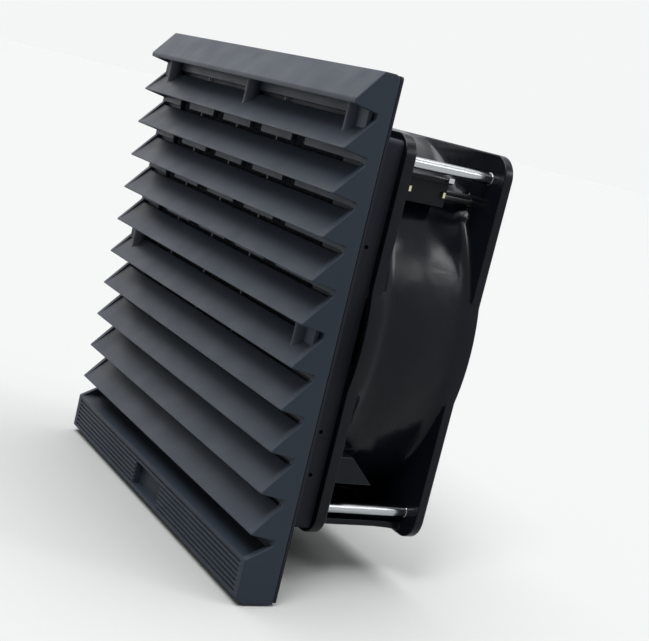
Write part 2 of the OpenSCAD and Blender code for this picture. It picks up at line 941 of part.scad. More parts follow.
module motor_shaft() {
  color("#d0d3d6")
    spun()
      polygon([
        [0, cup_nose], [shaft_r, cup_nose],
        [shaft_r, groove_y], [shaft_r - 0.4, groove_y],
        [shaft_r - 0.4, groove_y + groove_w], [shaft_r, groove_y + groove_w],
        [shaft_r, groove_y + groove_w + 0.4], [shaft_r - 0.4, groove_y + groove_w + 0.8],
        [0, groove_y + groove_w + 0.8]
      ]);
}

module retaining_ring() {
  color("#6f7479")
    difference() {
      ring(shaft_r + 1.4, shaft_r - 0.35, groove_y + 0.05, groove_y + groove_w - 0.05);
      translate([-0.9, rear_bearing_y, -8])
        cube([1.8, 8, 8]);
    }
}

module thrust_washer() {
  color("#d9c9a0")
    ring(shaft_r + 1.3, shaft_r + fit, rear_bearing_y + bearing_b + 0.05, groove_y);
}

module preload_spring() {
  color("#b0b3b7")
    ring(shaft_r + 1.5, shaft_r + 0.2, cup_sleeve_rear + fit, front_bearing_y - fit);
}

bearings_y = [front_bearing_y, rear_bearing_y];
race_depth = bearing_r - shaft_r;
ball_r = 0.275 * race_depth;
ball_count = 8;
race_r = ball_r + 0.1;
ball_track = (bearing_r + shaft_r) / 2;
ring_t = 0.35 * race_depth;
cage_gap = 0.0625 * race_depth;
pocket_gap = 0.06;

// Section of one bearing ring with its groove, from radius r0 to r1
module race_section(r0, r1) {
  difference() {
    translate([r0, 0])
      square([r1 - r0, bearing_b]);
    translate([ball_track, bearing_b / 2])
      circle(r = race_r, $fn = small_fn);
  }
}

module bearing_outer_rings() {
  color("#c4c8cc")
    for (y = bearings_y)
      translate([0, y, 0])
        spun()
          race_section(bearing_r - ring_t, bearing_r);
}

module bearing_inner_rings() {
  color("#c4c8cc")
    for (y = bearings_y)
      translate([0, y, 0])
        spun()
          race_section(shaft_r + 0.01, shaft_r + ring_t);
}

module bearing_balls() {
  color("#dfe2e4")
    for (y = bearings_y, i = [0:ball_count - 1])
      rotate([0, i * 360 / ball_count, 0])
        translate([ball_track, y + bearing_b / 2, 0])
          sphere(r = ball_r, $fn = small_fn);
}

// Cages that keep the balls apart, open towards the front
module ball_cages() {
  color("#c9a15a")
    for (y = bearings_y)
      difference() {
        ring(bearing_r - ring_t - cage_gap, shaft_r + ring_t + cage_gap, y + 0.5, y + bearing_b - 0.5);
        for (i = [0:ball_count - 1])
          rotate([0, i * 360 / ball_count, 0])
            translate([shaft_r, y, -ball_r - pocket_gap])
              cube([bearing_r - shaft_r, bearing_b / 2 + ball_r + pocket_gap, 2 * (ball_r + pocket_gap)]);
      }
}

pole_w = 7;
yoke_r = tube_r + 3.4;
shoe_r = stator_r - 3.4;

module stator_core() {
  color("#5b5f63")
    difference() {
      union() {
        ring(yoke_r, tube_r + fit, stator_front, stator_rear);
        ring(stator_r, shoe_r, stator_front, stator_rear);
        for (i = [0:3])
          rotate([0, i * 90, 0])
            translate([yoke_r - 1, stator_front, -pole_w / 2])
              cube([shoe_r - yoke_r + 2, stator_l, pole_w]);
      }
      for (i = [0:3])
        rotate([0, 45 + i * 90, 0])
          translate([shoe_r - 1, stator_front - 1, -1.2])
            cube([6, stator_l + 2, 2.4]);
    }
}

bobbin_t = 0.6;
coil_w = 4;
coil_gap = 0.3;
coil_in = yoke_r + 0.5;
coil_out = shoe_r - 1.3;
coil_half = pole_w / 2 + bobbin_t + coil_w - 1.1;
shade_half = 2.4;
shade_turn = asin((coil_half + 0.3 + shade_half) / (shoe_r - 1.2));

// Rectangular sleeve round a pole, from radius r0 to r1
module sleeve(r0, r1, inner, wall) {
  difference() {
    translate([r0, stator_front - inner - wall, -pole_w / 2 - inner - wall])
      cube([r1 - r0, stator_l + 2 * (inner + wall), pole_w + 2 * (inner + wall)]);
    translate([r0 - 1, stator_front - inner, -pole_w / 2 - inner])
      cube([r1 - r0 + 2, stator_l + 2 * inner, pole_w + 2 * inner]);
  }
}

module coil_bobbins() {
  color("#ece7d8")
    for (i = [0:3])
      rotate([0, i * 90, 0])
        sleeve(coil_in - 0.4, coil_out + 0.4, 0.05, bobbin_t);
}

module stator_coils() {
  color("#a85a2c")
    for (i = [0:3])
      rotate([0, i * 90, 0])
        intersection() {
          sleeve(coil_in, coil_out, bobbin_t + 0.1, coil_w - 1.2);
          slab(stator_front - 6, stator_rear + 6)
            polygon([[coil_gap, 0], [stator_r, stator_r - coil_gap], [stator_r, coil_gap - stator_r]]);
        }
}

// Copper loops round one edge of each pole shoe
module shading_rings() {
  color("#b5713a")
    for (i = [0:3])
      rotate([0, i * 90 + shade_turn, 0])
        translate([shoe_r - 1.2, stator_front - 0.9, -shade_half])
          difference() {
            cube([2.4, 0.8, 2 * shade_half]);
            translate([0.6, -1, 0.8])
              cube([4, 3, 2 * shade_half - 1.6]);
          }
}

block_x = fan_w / 2 - 7.5;
block_top = screw_o - shank_d / 2 - 1.1;
block_low = block_top - 8.4;
block_l = terminal_pitch + 4.2;
block_mid = duct_front + 3.1 + block_l / 2;
block_in = 14;
block_front = block_mid - block_l / 2;
ledge_t = 1.4;
ledge_low = block_top - ledge_t;
ledge_step = 1.2;
terminal_z = block_top - 4.7;
tab_in = 7;
tab_t = 0.8;
earth_w = 1.8;
earth_y = block_mid + block_l / 2 - earth_w - 0.6;
earth_z = block_top - tab_t;

// Places a piece at the inner ends of both terminals
module at_terminals() {
  for (s = [-1, 1])
    translate([block_x - tab_in + 0.1, block_mid + s * terminal_pitch / 2, terminal_z])
      children();
}

// Terminal block on the duct at the upper right corner
module terminal_block() {
  color("#1b1c1f")
    difference() {
      union() {
        translate([block_x - block_in, block_front, ledge_low])
          cube([block_in, block_l, ledge_t]);
        translate([block_x - block_in, block_front + ledge_step / 2, block_low])
          cube([block_in - ledge_step, block_l - ledge_step, block_top - ledge_t / 2 - block_low]);
      }
      spun()
        translate([0, fan_front])
          square([duct_r + rest_gap, fan_depth]);
      at_terminals()
        translate([-fit, -tab_t / 2 - fit, -terminal_w / 2 - fit])
          cube([tab_in + 1, tab_t + 2 * fit, terminal_w + 2 * fit]);
      translate([block_x - tab_in, earth_y - fit, earth_z - fit])
        cube([tab_in + 1, earth_w + 2 * fit, tab_t + 1]);
      translate([block_x - tab_in, earth_y - terminal_pitch / 2, block_top - tab_t])
        cube([tab_in - ledge_step, terminal_pitch / 2 - 0.6, tab_t + 1]);
    }
}

// Bent tab for the earth wire
module earth_tab() {
  color("#c9ccd0") {
    translate([block_x - tab_in + 0.1, earth_y, earth_z])
      cube([tab_in - 0.1 + terminal_l, earth_w, tab_t]);
    translate([block_x + terminal_l - tab_t, earth_y, earth_z])
      cube([tab_t, earth_w, ledge_t]);
  }
}

module terminal_tabs() {
  color("#d8c98f")
    at_terminals()
      translate([0, -tab_t / 2, -terminal_w / 2])
        cube([tab_in - 0.1 - ledge_step + terminal_l, tab_t, terminal_w]);
}

// Two insulated leads, from the motor along the strut and forward to the terminal block
module motor_leads() {
  color("#1a1a1c")
    on_lead_strut()
      for (side = [-1, 1])
        translate([0, lead_y, side * (lead_r + 0.1)]) {
          translate([plate_r - lead_in, 0, 0])
            rotate([0, 90, 0])
              cylinder(r = lead_r, h = lead_turn - plate_r + lead_in, $fn = small_fn);
          translate([lead_turn, 0, 0])
            sphere(r = lead_r, $fn = small_fn);
          translate([lead_turn, 0, 0])
            rotate([90, 0, 0])
              cylinder(r = lead_r, h = lead_y - block_mid - block_l / 2 - 0.3, $fn = small_fn);
        }
}

module rating_plate() {
  color("#a9acaf")
    rod(plate_r - plate_step, plate_rear - 0.75, plate_rear - 0.35, fn = round_fn);
}

louvre_cover();
base_frame();
panel_gasket();
filter_mat();
filter_grid();
clip_right_upper();
clip_right_lower();
clip_left_upper();
clip_left_lower();
fan_housing();
fan_screws();
spring_washers();
flat_washers();
impeller();
rotor_cup();
rotor_cage();
motor_shaft();
retaining_ring();
thrust_washer();
preload_spring();
bearing_outer_rings();
bearing_inner_rings();
bearing_balls();
ball_cages();
stator_core();
stator_coils();
coil_bobbins();
shading_rings();
terminal_block();
terminal_tabs();
earth_tab();
motor_leads();
rating_plate();
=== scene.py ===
"""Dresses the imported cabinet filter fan: finishes, softened edges, studio and camera."""

from __future__ import annotations

import json
import logging
import math
from dataclasses import dataclass
from enum import Enum
from typing import Any, ClassVar, Iterable, Mapping, Sequence

import bmesh
import bpy
from mathutils import Matrix, Vector, noise

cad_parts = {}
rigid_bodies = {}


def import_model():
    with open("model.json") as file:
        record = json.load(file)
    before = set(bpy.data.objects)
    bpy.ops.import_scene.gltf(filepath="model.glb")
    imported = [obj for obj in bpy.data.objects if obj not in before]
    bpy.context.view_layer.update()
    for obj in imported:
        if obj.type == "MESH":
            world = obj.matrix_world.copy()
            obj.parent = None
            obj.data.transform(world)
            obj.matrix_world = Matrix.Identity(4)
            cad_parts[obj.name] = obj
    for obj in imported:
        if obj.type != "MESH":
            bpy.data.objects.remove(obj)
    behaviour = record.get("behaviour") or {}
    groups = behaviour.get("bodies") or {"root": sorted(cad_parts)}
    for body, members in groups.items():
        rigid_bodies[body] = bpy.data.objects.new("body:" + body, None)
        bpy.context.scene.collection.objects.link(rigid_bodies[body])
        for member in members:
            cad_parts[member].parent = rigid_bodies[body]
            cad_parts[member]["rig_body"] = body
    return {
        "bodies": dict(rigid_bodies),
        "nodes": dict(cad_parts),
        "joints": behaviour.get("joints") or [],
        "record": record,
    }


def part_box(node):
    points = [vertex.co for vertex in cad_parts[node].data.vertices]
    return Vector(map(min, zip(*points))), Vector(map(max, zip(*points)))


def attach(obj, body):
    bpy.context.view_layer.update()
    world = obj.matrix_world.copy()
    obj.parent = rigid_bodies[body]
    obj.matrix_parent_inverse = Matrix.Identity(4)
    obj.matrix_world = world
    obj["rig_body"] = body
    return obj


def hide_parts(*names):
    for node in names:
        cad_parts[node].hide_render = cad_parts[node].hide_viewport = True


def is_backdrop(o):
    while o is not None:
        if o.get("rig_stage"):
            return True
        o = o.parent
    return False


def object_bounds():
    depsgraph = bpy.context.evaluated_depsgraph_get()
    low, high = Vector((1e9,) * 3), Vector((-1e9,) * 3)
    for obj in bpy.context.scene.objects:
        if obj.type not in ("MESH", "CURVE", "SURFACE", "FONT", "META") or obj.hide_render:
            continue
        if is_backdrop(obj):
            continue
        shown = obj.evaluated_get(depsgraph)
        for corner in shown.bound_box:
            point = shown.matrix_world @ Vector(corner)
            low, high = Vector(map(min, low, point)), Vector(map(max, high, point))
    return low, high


log = logging.getLogger("filter_fan")

MM = 0.001
NEARLY_ZERO = 1e-6
PICTURE_WIDTH = 649
SENSOR_WIDTH = 36.0
# Least turn between two faces that keeps their edge sharp, on CAD meshes and on own ones.
SHARP_ANGLE = math.radians(28)
MOULDED_SHARP_ANGLE = math.radians(39.2)
# Largest share of a side that the rounding of one of its corners takes.
MOST_CUT = 0.42
# Keeps a very pointed corner from running away when its outline shrinks.
LEAST_COSINE = 0.4

Point = tuple[float, float]
Outline = Sequence[Point]
Tree = bpy.types.NodeTree
Node = bpy.types.Node
Socket = bpy.types.NodeSocket


def linear(code: str) -> tuple[float, float, float, float]:
    """Turns an sRGB hex colour such as "#3a3d44" into linear RGBA with an alpha of 1."""
    parts = [int(code[i : i + 2], 16) / 255 for i in (1, 3, 5)]
    low = [c / 12.92 if c <= 0.04045 else ((c + 0.055) / 1.055) ** 2.4 for c in parts]
    return (low[0], low[1], low[2], 1.0)


@dataclass(frozen=True)
class Graph:
    """A node tree under construction."""

    tree: Tree

    def add_node(
        self,
        kind: str,
        settings: Mapping[Any, Any] | None = None,
        links: Mapping[Any, Socket] | None = None,
    ) -> Node:
        """Adds a node with its settings and incoming links.

        Args:
            kind: Blender's node type name.
            settings: Property names or input sockets, each with its value.
            links: Input sockets, each with the output socket that feeds it.

        Returns:
            The new node.
        """
        node = self.tree.nodes.new(kind)
        for key, value in (settings or {}).items():
            if isinstance(key, str) and hasattr(node, key):
                setattr(node, key, value)
            else:
                node.inputs[key].default_value = value
        for key, source in (links or {}).items():
            self.tree.links.new(source, node.inputs[key])
        return node


@dataclass(frozen=True)
class Ground(Graph):
    """A material's tree with what patterns use: its shader and coordinates in metres."""

    shader: Node
    place: Socket

    def texture(
        self, kind: str, size_mm: float, settings: Mapping[Any, Any], place: Socket | None = None
    ) -> Node:
        """Adds a texture of any kind at its real size.

        Args:
            kind: Blender's node type name.
            size_mm: Width of the texture's features.
            settings: The texture's other settings.
            place: Coordinates other than the material's own.

        Returns:
            The texture node.
        """
        scaled = {"Scale": 1.0 / (size_mm * MM), **settings}
        return self.add_node(kind, scaled, {"Vector": self.place if place is None else place})

    def drive(self, name: str, source: Socket) -> None:
        """Feeds one of the shader's inputs."""
        self.tree.links.new(source, self.shader.inputs[name])


class Lay(Enum):
    """Direction in which the fine lines of a worked metal run, as squeezes of X, Y and Z."""

    ALONG_X = (0.04, 1.0, 1.0)
    ALONG_Y = (1.0, 0.04, 1.0)
    ALONG_Z = (1.0, 1.0, 0.04)
    NONE = (1.0, 1.0, 1.0)


@dataclass(frozen=True)
class Finish:
    """What every finish has: name, colour, the shader's plain values and a second shade."""

    name: str
    colour: str
    roughness: float = 0.5
    metallic: float = 0.0
    ior: float = 1.5
    gloss: float = 0.5
    shade: str = "#303238"
    patch_mm: float = 45.0

    def material(self) -> bpy.types.Material:
        """Makes the material and returns it."""
        made = bpy.data.materials.new(self.name)
        made.use_nodes = True
        made.node_tree.nodes.clear()
        graph = Graph(made.node_tree)
        shader = graph.add_node(
            "ShaderNodeBsdfPrincipled",
            {
                "Base Color": linear(self.colour),
                "Roughness": self.roughness,
                "Metallic": self.metallic,
                "IOR": self.ior,
                "Specular IOR Level": self.gloss,
            },
        )
        graph.add_node("ShaderNodeOutputMaterial", links={"Surface": shader.outputs["BSDF"]})
        place = graph.add_node("ShaderNodeTexCoord").outputs["Object"]
        self.dress(Ground(graph.tree, shader, place))
        made.diffuse_color = linear(self.colour)
        return made

    def dress(self, ground: Ground) -> None:
        """Adds the finish's patterns to its shader."""
        raise NotImplementedError

    def mottle(self, ground: Ground) -> None:
        """Lets the colour drift between the two shades."""
        patch = ground.texture("ShaderNodeTexNoise", self.patch_mm, {"Detail": 3.0})
        spread = ground.add_node(
            "ShaderNodeMapRange",
            {"From Min": 0.25, "From Max": 0.75},
            {"Value": patch.outputs["Fac"]},
        )
        mix = ground.add_node(
            "ShaderNodeMix",
            {"data_type": "RGBA", 6: linear(self.colour), 7: linear(self.shade)},
            {0: spread.outputs["Result"]},
        )
        ground.drive("Base Color", mix.outputs[2])

    def rough_drift(self, ground: Ground, size_mm: float, spread: float) -> None:
        """Lets the roughness drift about its value.

        Args:
            ground: Where the pattern goes.
            size_mm: Width of a patch.
            spread: Largest step away from the finish's roughness.
        """
        patch = ground.texture("ShaderNodeTexNoise", size_mm, {"Detail": 2.0})
        value = ground.add_node(
            "ShaderNodeMapRange",
            {
                "From Min": 0.3,
                "From Max": 0.7,
                "To Min": self.roughness - spread,
                "To Max": self.roughness + spread,
            },
            {"Value": patch.outputs["Fac"]},
        )
        ground.drive("Roughness", value.outputs["Result"])

    def bump(
        self, ground: Ground, height: Socket, depth_mm: float, before: Node | None = None
    ) -> Node:
        """Turns a height into bump.

        Args:
            ground: Where the pattern goes.
            height: Heights from 0 to 1.
            depth_mm: Depth of the relief.
            before: An earlier node whose normals this one bends further.

        Returns:
            The bump node.
        """
        links = {"Height": height}
        if before is not None:
            links["Normal"] = before.outputs["Normal"]
        made = ground.add_node(
            "ShaderNodeBump", {"Strength": 1.0, "Distance": depth_mm * MM}, links
        )
        ground.drive("Normal", made.outputs["Normal"])
        return made


@dataclass(frozen=True)
class MouldedPlastic(Finish):
    """Moulded plastic: the tool's fine even grain and, where edge_mm is set, soft edges."""

    grain_mm: float = 0.35
    grain_depth_mm: float = 0.02
    drift: float = 0.05
    edge_mm: float = 0.0

    def dress(self, ground: Ground) -> None:
        """Adds slow drifts of colour and sheen, the grain and the rounding of the edges."""
        self.mottle(ground)
        self.rough_drift(ground, self.patch_mm / 4, self.drift)
        grain = ground.texture(
            "ShaderNodeTexNoise", self.grain_mm, {"Detail": 2.0, "Roughness": 0.6}
        )
        before = None
        if self.edge_mm > 0:
            before = ground.add_node("ShaderNodeBevel", {"samples": 4, "Radius": self.edge_mm * MM})
        self.bump(ground, grain.outputs["Fac"], self.grain_depth_mm, before)


@dataclass(frozen=True)
class CastEnamel(Finish):
    """Gloss stove enamel on a die-casting: slight orange peel over a cast skin."""

    shade: str = "#1b1c1f"
    patch_mm: float = 30.0
    drift_mm: float = 9.0
    drift: float = 0.06
    peel_mm: float = 1.6
    peel_depth_mm: float = 0.008
    cast_mm: float = 20.0
    cast_depth_mm: float = 0.06

    def dress(self, ground: Ground) -> None:
        """Adds the cast skin's waves and the enamel's orange peel."""
        self.mottle(ground)
        self.rough_drift(ground, self.drift_mm, self.drift)
        reliefs = ((self.cast_mm, self.cast_depth_mm), (self.peel_mm, self.peel_depth_mm))
        before = None
        for size_mm, depth_mm in reliefs:
            relief = ground.texture("ShaderNodeTexNoise", size_mm, {"Detail": 1.0})
            before = self.bump(ground, relief.outputs["Fac"], depth_mm, before)


@dataclass(frozen=True)
class WorkedMetal(Finish):
    """Rolled, turned or ground metal with fine lines along its lay."""

    metallic: float = 1.0
    shade: str = "#9a9da1"
    patch_mm: float = 18.0
    line_mm: float = 0.12
    line_depth_mm: float = 0.004
    spread: float = 0.25
    lay: Lay = Lay.NONE

    def dress(self, ground: Ground) -> None:
        """Adds the working lines, which also roughen the metal a little."""
        self.mottle(ground)
        squeezed = ground.add_node(
            "ShaderNodeMapping", {"Scale": self.lay.value}, {"Vector": ground.place}
        )
        lines = ground.texture(
            "ShaderNodeTexNoise", self.line_mm, {"Detail": 2.0}, squeezed.outputs["Vector"]
        )
        value = ground.add_node(
            "ShaderNodeMapRange",
            {
                "To Min": self.roughness * (1 - self.spread),
                "To Max": self.roughness * (1 + self.spread),
            },
            {"Value": lines.outputs["Fac"]},
        )
        ground.drive("Roughness", value.outputs["Result"])
        self.bump(ground, lines.outputs["Fac"], self.line_depth_mm)


@dataclass(frozen=True)
class Fleece(Finish):
    """Bonded fleece or foam: a tangle of threads over pores painted in the second shade, as painted
    shade in the hollows between the threads.
    """

    thread_mm: float = 0.5
    depth_mm: float = 0.5

    def dress(self, ground: Ground) -> None:
        """Adds the threads as a cell pattern, drawn coarser than real so that they show, and paints
        the pores between them darker as painted shade.
        """
        bent = ground.texture("ShaderNodeTexNoise", self.thread_mm * 3, {"Detail": 2.0})
        moved = ground.add_node(
            "ShaderNodeVectorMath",
            {"operation": "MULTIPLY_ADD", 1: (self.thread_mm * MM * 2,) * 3},
            {0: bent.outputs["Color"], 2: ground.place},
        )
        cells = ground.texture(
            "ShaderNodeTexVoronoi",
            self.thread_mm * 2,
            {"feature": "DISTANCE_TO_EDGE"},
            moved.outputs["Vector"],
        )
        threads_and_pore_shade = ground.add_node(
            "ShaderNodeMapRange",
            {"From Min": 0.02, "From Max": 0.3, "To Min": 1.0, "To Max": 0.0},
            {"Value": cells.outputs["Distance"]},
        )
        # Painted shade: the pores between the threads get the darker second shade.
        mix = ground.add_node(
            "ShaderNodeMix",
            {"data_type": "RGBA", 6: linear(self.shade), 7: linear(self.colour)},
            {0: threads_and_pore_shade.outputs["Result"]},
        )
        ground.drive("Base Color", mix.outputs[2])
        self.bump(ground, threads_and_pore_shade.outputs["Result"], self.depth_mm)


@dataclass(frozen=True)
class Wound(Finish):
    """Enamelled wire in close turns."""

    metallic: float = 0.75
    shade: str = "#7c3c1c"
    patch_mm: float = 4.0
    wire_mm: float = 0.35

    def dress(self, ground: Ground) -> None:
        """Adds one ridge for each turn of wire."""
        self.mottle(ground)
        turns = ground.texture(
            "ShaderNodeTexWave", self.wire_mm * 2 * math.pi, {"Distortion": 0.6}
        )
        self.bump(ground, turns.outputs["Fac"], self.wire_mm / 2)


@dataclass(frozen=True)
class Laminated(Finish):
    """Electrical steel stacked in thin sheets along Y."""

    metallic: float = 1.0
    shade: str = "#45484c"
    patch_mm: float = 6.0
    sheet_mm: float = 0.5
    joint_mm: float = 0.05

    def dress(self, ground: Ground) -> None:
        """Adds a fine joint between each two sheets."""
        self.mottle(ground)
        sheets = ground.texture(
            "ShaderNodeTexWave", self.sheet_mm * 2 * math.pi, {"bands_direction": "Y"}
        )
        self.bump(ground, sheets.outputs["Fac"], self.joint_mm)


# Cool anthracite with a low sheen: faces stay dark and only the ridges catch the light.
COVER_ABS = MouldedPlastic("cover_abs", "#282e37", 0.44, gloss=0.1, shade="#242a32")
# A touch darker and more matt than the cover, so the frame reads as a second moulding.
FRAME_ABS = MouldedPlastic(
    "frame_abs", "#191c23", 0.55, gloss=0.1, shade="#16191f", edge_mm=0.25
)
# Deep gloss black whose slow waves break the reflections as on a real casting.
HOUSING_ENAMEL = CastEnamel("stove_enamel_black", "#090c11", 0.22, gloss=0.13, shade="#0c1015")
# Black glass-filled nylon, half gloss, with broad soft highlights on the blades.
IMPELLER_NYLON = MouldedPlastic(
    "impeller_nylon",
    "#141518",
    0.36,
    gloss=0.25,
    shade="#121314",
    grain_mm=0.8,
    grain_depth_mm=0.01,
)
# Charcoal fleece that swallows light behind the louvres and shows its threads from near by; its pores
# are painted darker as painted shade.
FILTER_FLEECE = Fleece("polyester_fleece", "#202327", 0.95, gloss=0.1, shade="#0b0c0e")
# Dense black foam with fine pores along the cut edges, painted darker as painted shade.
GASKET_FOAM = Fleece(
    "gasket_epdm_foam", "#1c1d1f", 0.85, gloss=0.3, shade="#0c0c0d", thread_mm=0.25, depth_mm=0.12
)
# Cold rolled spring steel, grey and lightly drawn along the clip.
CLIP_STEEL = WorkedMetal("clip_spring_steel", "#b7babe", 0.3, lay=Lay.ALONG_Z)
# Bright polished shanks that mirror the white studio and the dark flanges.
SCREW_STEEL = WorkedMetal("screw_polished_steel", "#b4b7ba", 0.18, shade="#a5a9ad")
# Duller zinc, so the washers part from the screw heads.
WASHER_STEEL = WorkedMetal("washer_zinc_steel", "#b4b7bb", 0.32)
# Drawn steel cup with faint drawing lines along its wall.
CUP_STEEL = WorkedMetal("cup_zinc_steel", "#8f9499", 0.35, lay=Lay.ALONG_Y)
# Cast and turned aluminium, pale and satin.
CAGE_ALUMINIUM = WorkedMetal("rotor_aluminium", "#b3b6b9", 0.4)
# Blackened spring steel of the small rings on the shaft.
RING_STEEL = WorkedMetal("ring_black_steel", "#6a6e73", 0.35)
# Ground bearing steel, the brightest metal of the motor.
GROUND_STEEL = WorkedMetal("bearing_ground_steel", "#c9ccd0", 0.12, line_depth_mm=0.002)
# Stamped brass, the one warm metal in the bearings.
CAGE_BRASS = WorkedMetal("ball_cage_brass", "#c9a15a", 0.3, shade="#b38c48")
# Dry tan fibre board.
WASHER_FIBRE = MouldedPlastic("thrust_washer_fibre", "#d9c9a0", 0.7, shade="#c9b98e")
# Dark sheet edges in a stack, one fine line each.
CORE_STEEL = Laminated("stator_core_steel", "#5b5f63", 0.45)
# Close turns of red-brown enamelled wire.
COIL_COPPER = Wound("coil_enamelled_copper", "#a85a2c", 0.35)
# Bare copper of the shading rings, redder and duller than the coils.
RING_COPPER = WorkedMetal("shading_ring_copper", "#b5713a", 0.35, shade="#9c5c2b")
# Milky natural nylon.
BOBBIN_NYLON = MouldedPlastic("bobbin_natural_nylon", "#ece7d8", 0.5, shade="#e2dcc9")
# Black terminal plastic with a soft sheen along its ledge.
TERMINAL_PBT = MouldedPlastic(
    "terminal_block_pbt", "#0d0f12", 0.42, gloss=0.12, shade="#0b0d0f", grain_mm=0.5
)
# Bright tin with a warm trace of the brass under it.
TERMINAL_TIN = WorkedMetal("terminal_tinned_brass", "#cfc9b4", 0.25, shade="#bfb79c")
# Bright tin on the earth hook.
EARTH_TIN = WorkedMetal("earth_tab_tinned_steel", "#d0d2d4", 0.25)
# Smooth black insulation that shines along the leads' bends.
LEAD_PVC = MouldedPlastic("lead_pvc", "#161618", 0.35, ior=1.54, shade="#111113", grain_mm=0.6)
# Bare brushed plate with straight lines across it.
PLATE_ALUMINIUM = WorkedMetal(
    "rating_plate_aluminium", "#a9acb0", 0.38, shade="#9da0a4", lay=Lay.ALONG_X
)


def rounded(outline: Outline, radius: float, steps: int = 3) -> list[Point]:
    """Rounds the corners of a closed outline.

    Args:
        outline: Corners in order.
        radius: Rounding, less where a corner's sides are short.
        steps: Number of edges in each rounding.

    Returns:
        The rounded outline, with the same number of points for the same number of corners.
    """
    made: list[Point] = []
    for i, corner in enumerate(outline):
        here = Vector(corner)
        back = Vector(outline[i - 1]) - here
        ahead = Vector(outline[(i + 1) % len(outline)]) - here
        cut = min(radius, back.length * MOST_CUT, ahead.length * MOST_CUT)
        start, end = here + back.normalized() * cut, here + ahead.normalized() * cut
        for step in range(steps + 1):
            t = step / steps
            point = start * (1 - t) ** 2 + here * (2 * t * (1 - t)) + end * t**2
            made.append((point.x, point.y))
    return made


def inset(outline: Outline, distance: float) -> list[Point]:
    """Moves a closed outline inwards.

    Args:
        outline: Points in order.
        distance: Way that each side moves.

    Returns:
        The smaller outline.
    """
    area = sum(p[0] * q[1] - q[0] * p[1] for p, q in zip(outline, [*outline[1:], outline[0]]))
    turn = 1.0 if area > 0 else -1.0
    made: list[Point] = []
    for i, corner in enumerate(outline):
        here = Vector(corner)
        back = (here - Vector(outline[i - 1])).normalized()
        ahead = (Vector(outline[(i + 1) % len(outline)]) - here).normalized()
        square = Vector((-back.y, back.x)) * turn
        inward = (square + Vector((-ahead.y, ahead.x)) * turn).normalized()
        moved = here + inward * (distance / max(LEAST_COSINE, inward.dot(square)))
        made.append((moved.x, moved.y))
    return made


def circle(radius: float, y: float = 0.0, z: float = 0.0, count: int = 32) -> list[Point]:
    """Returns the points of a circle about y and z."""
    turns = [2 * math.pi * i / count for i in range(count)]
    return [(y + radius * math.cos(t), z + radius * math.sin(t)) for t in turns]


class Moulding:
    """A mesh under construction, measured in millimetres."""

    corner_share: ClassVar[float] = 1.2

    def __init__(self) -> None:
        """Starts with nothing."""
        self.shape = bmesh.new()

    def loft(
        self, stations: Sequence[tuple[float, Outline]], turn: Matrix | None = None
    ) -> None:
        """Runs a changing outline of Y and Z along X.

        Args:
            stations: Places along X, each with its outline, all of the same number of points.
            turn: Turn and move of the finished run.
        """
        new_vert = self.shape.verts.new
        rings = [[new_vert((x, y, z)) for y, z in outline] for x, outline in stations]
        for low, high in zip(rings, rings[1:]):
            for i in range(len(low)):
                self.shape.faces.new((low[i], low[i - 1], high[i - 1], high[i]))
        self.shape.faces.new(rings[0])
        self.shape.faces.new(rings[-1][::-1])
        if turn is not None:
            verts = [vert for ring in rings for vert in ring]
            bmesh.ops.transform(self.shape, matrix=turn, verts=verts)

    def slab(self, start: float, end: float, outline: Outline, edge: float) -> None:
        """Runs an outline along X and rounds its edge at the far end.

        Args:
            start: Where it begins, with a sharp edge.
            end: Where it ends, on either side of the start.
            outline: Corners of Y and Z.
            edge: Rounding of the far edge and, a little more, of the corners.
        """
        way = math.copysign(1.0, end - start)
        corner = edge * self.corner_share
        stations = [(start, rounded(outline, corner))]
        for degrees in (0, 30, 60, 90):
            lean = math.radians(degrees)
            place = end - way * edge * (1 - math.sin(lean))
            depth = edge * (1 - math.cos(lean))
            stations.append((place, rounded(inset(outline, depth), corner - depth)))
        self.loft(stations)

    def mesh(self, name: str) -> bpy.types.Mesh:
        """Returns the finished mesh in metres, smooth but for its sharp edges."""
        bmesh.ops.scale(self.shape, vec=(MM, MM, MM), verts=self.shape.verts)
        bmesh.ops.recalc_face_normals(self.shape, faces=self.shape.faces)
        for face in self.shape.faces:
            face.smooth = True
        for edge in self.shape.edges:
            edge.smooth = edge.calc_face_angle(0.0) < MOULDED_SHARP_ANGLE
        made = bpy.data.meshes.new(name)
        self.shape.to_mesh(made)
        self.shape.free()
        return made


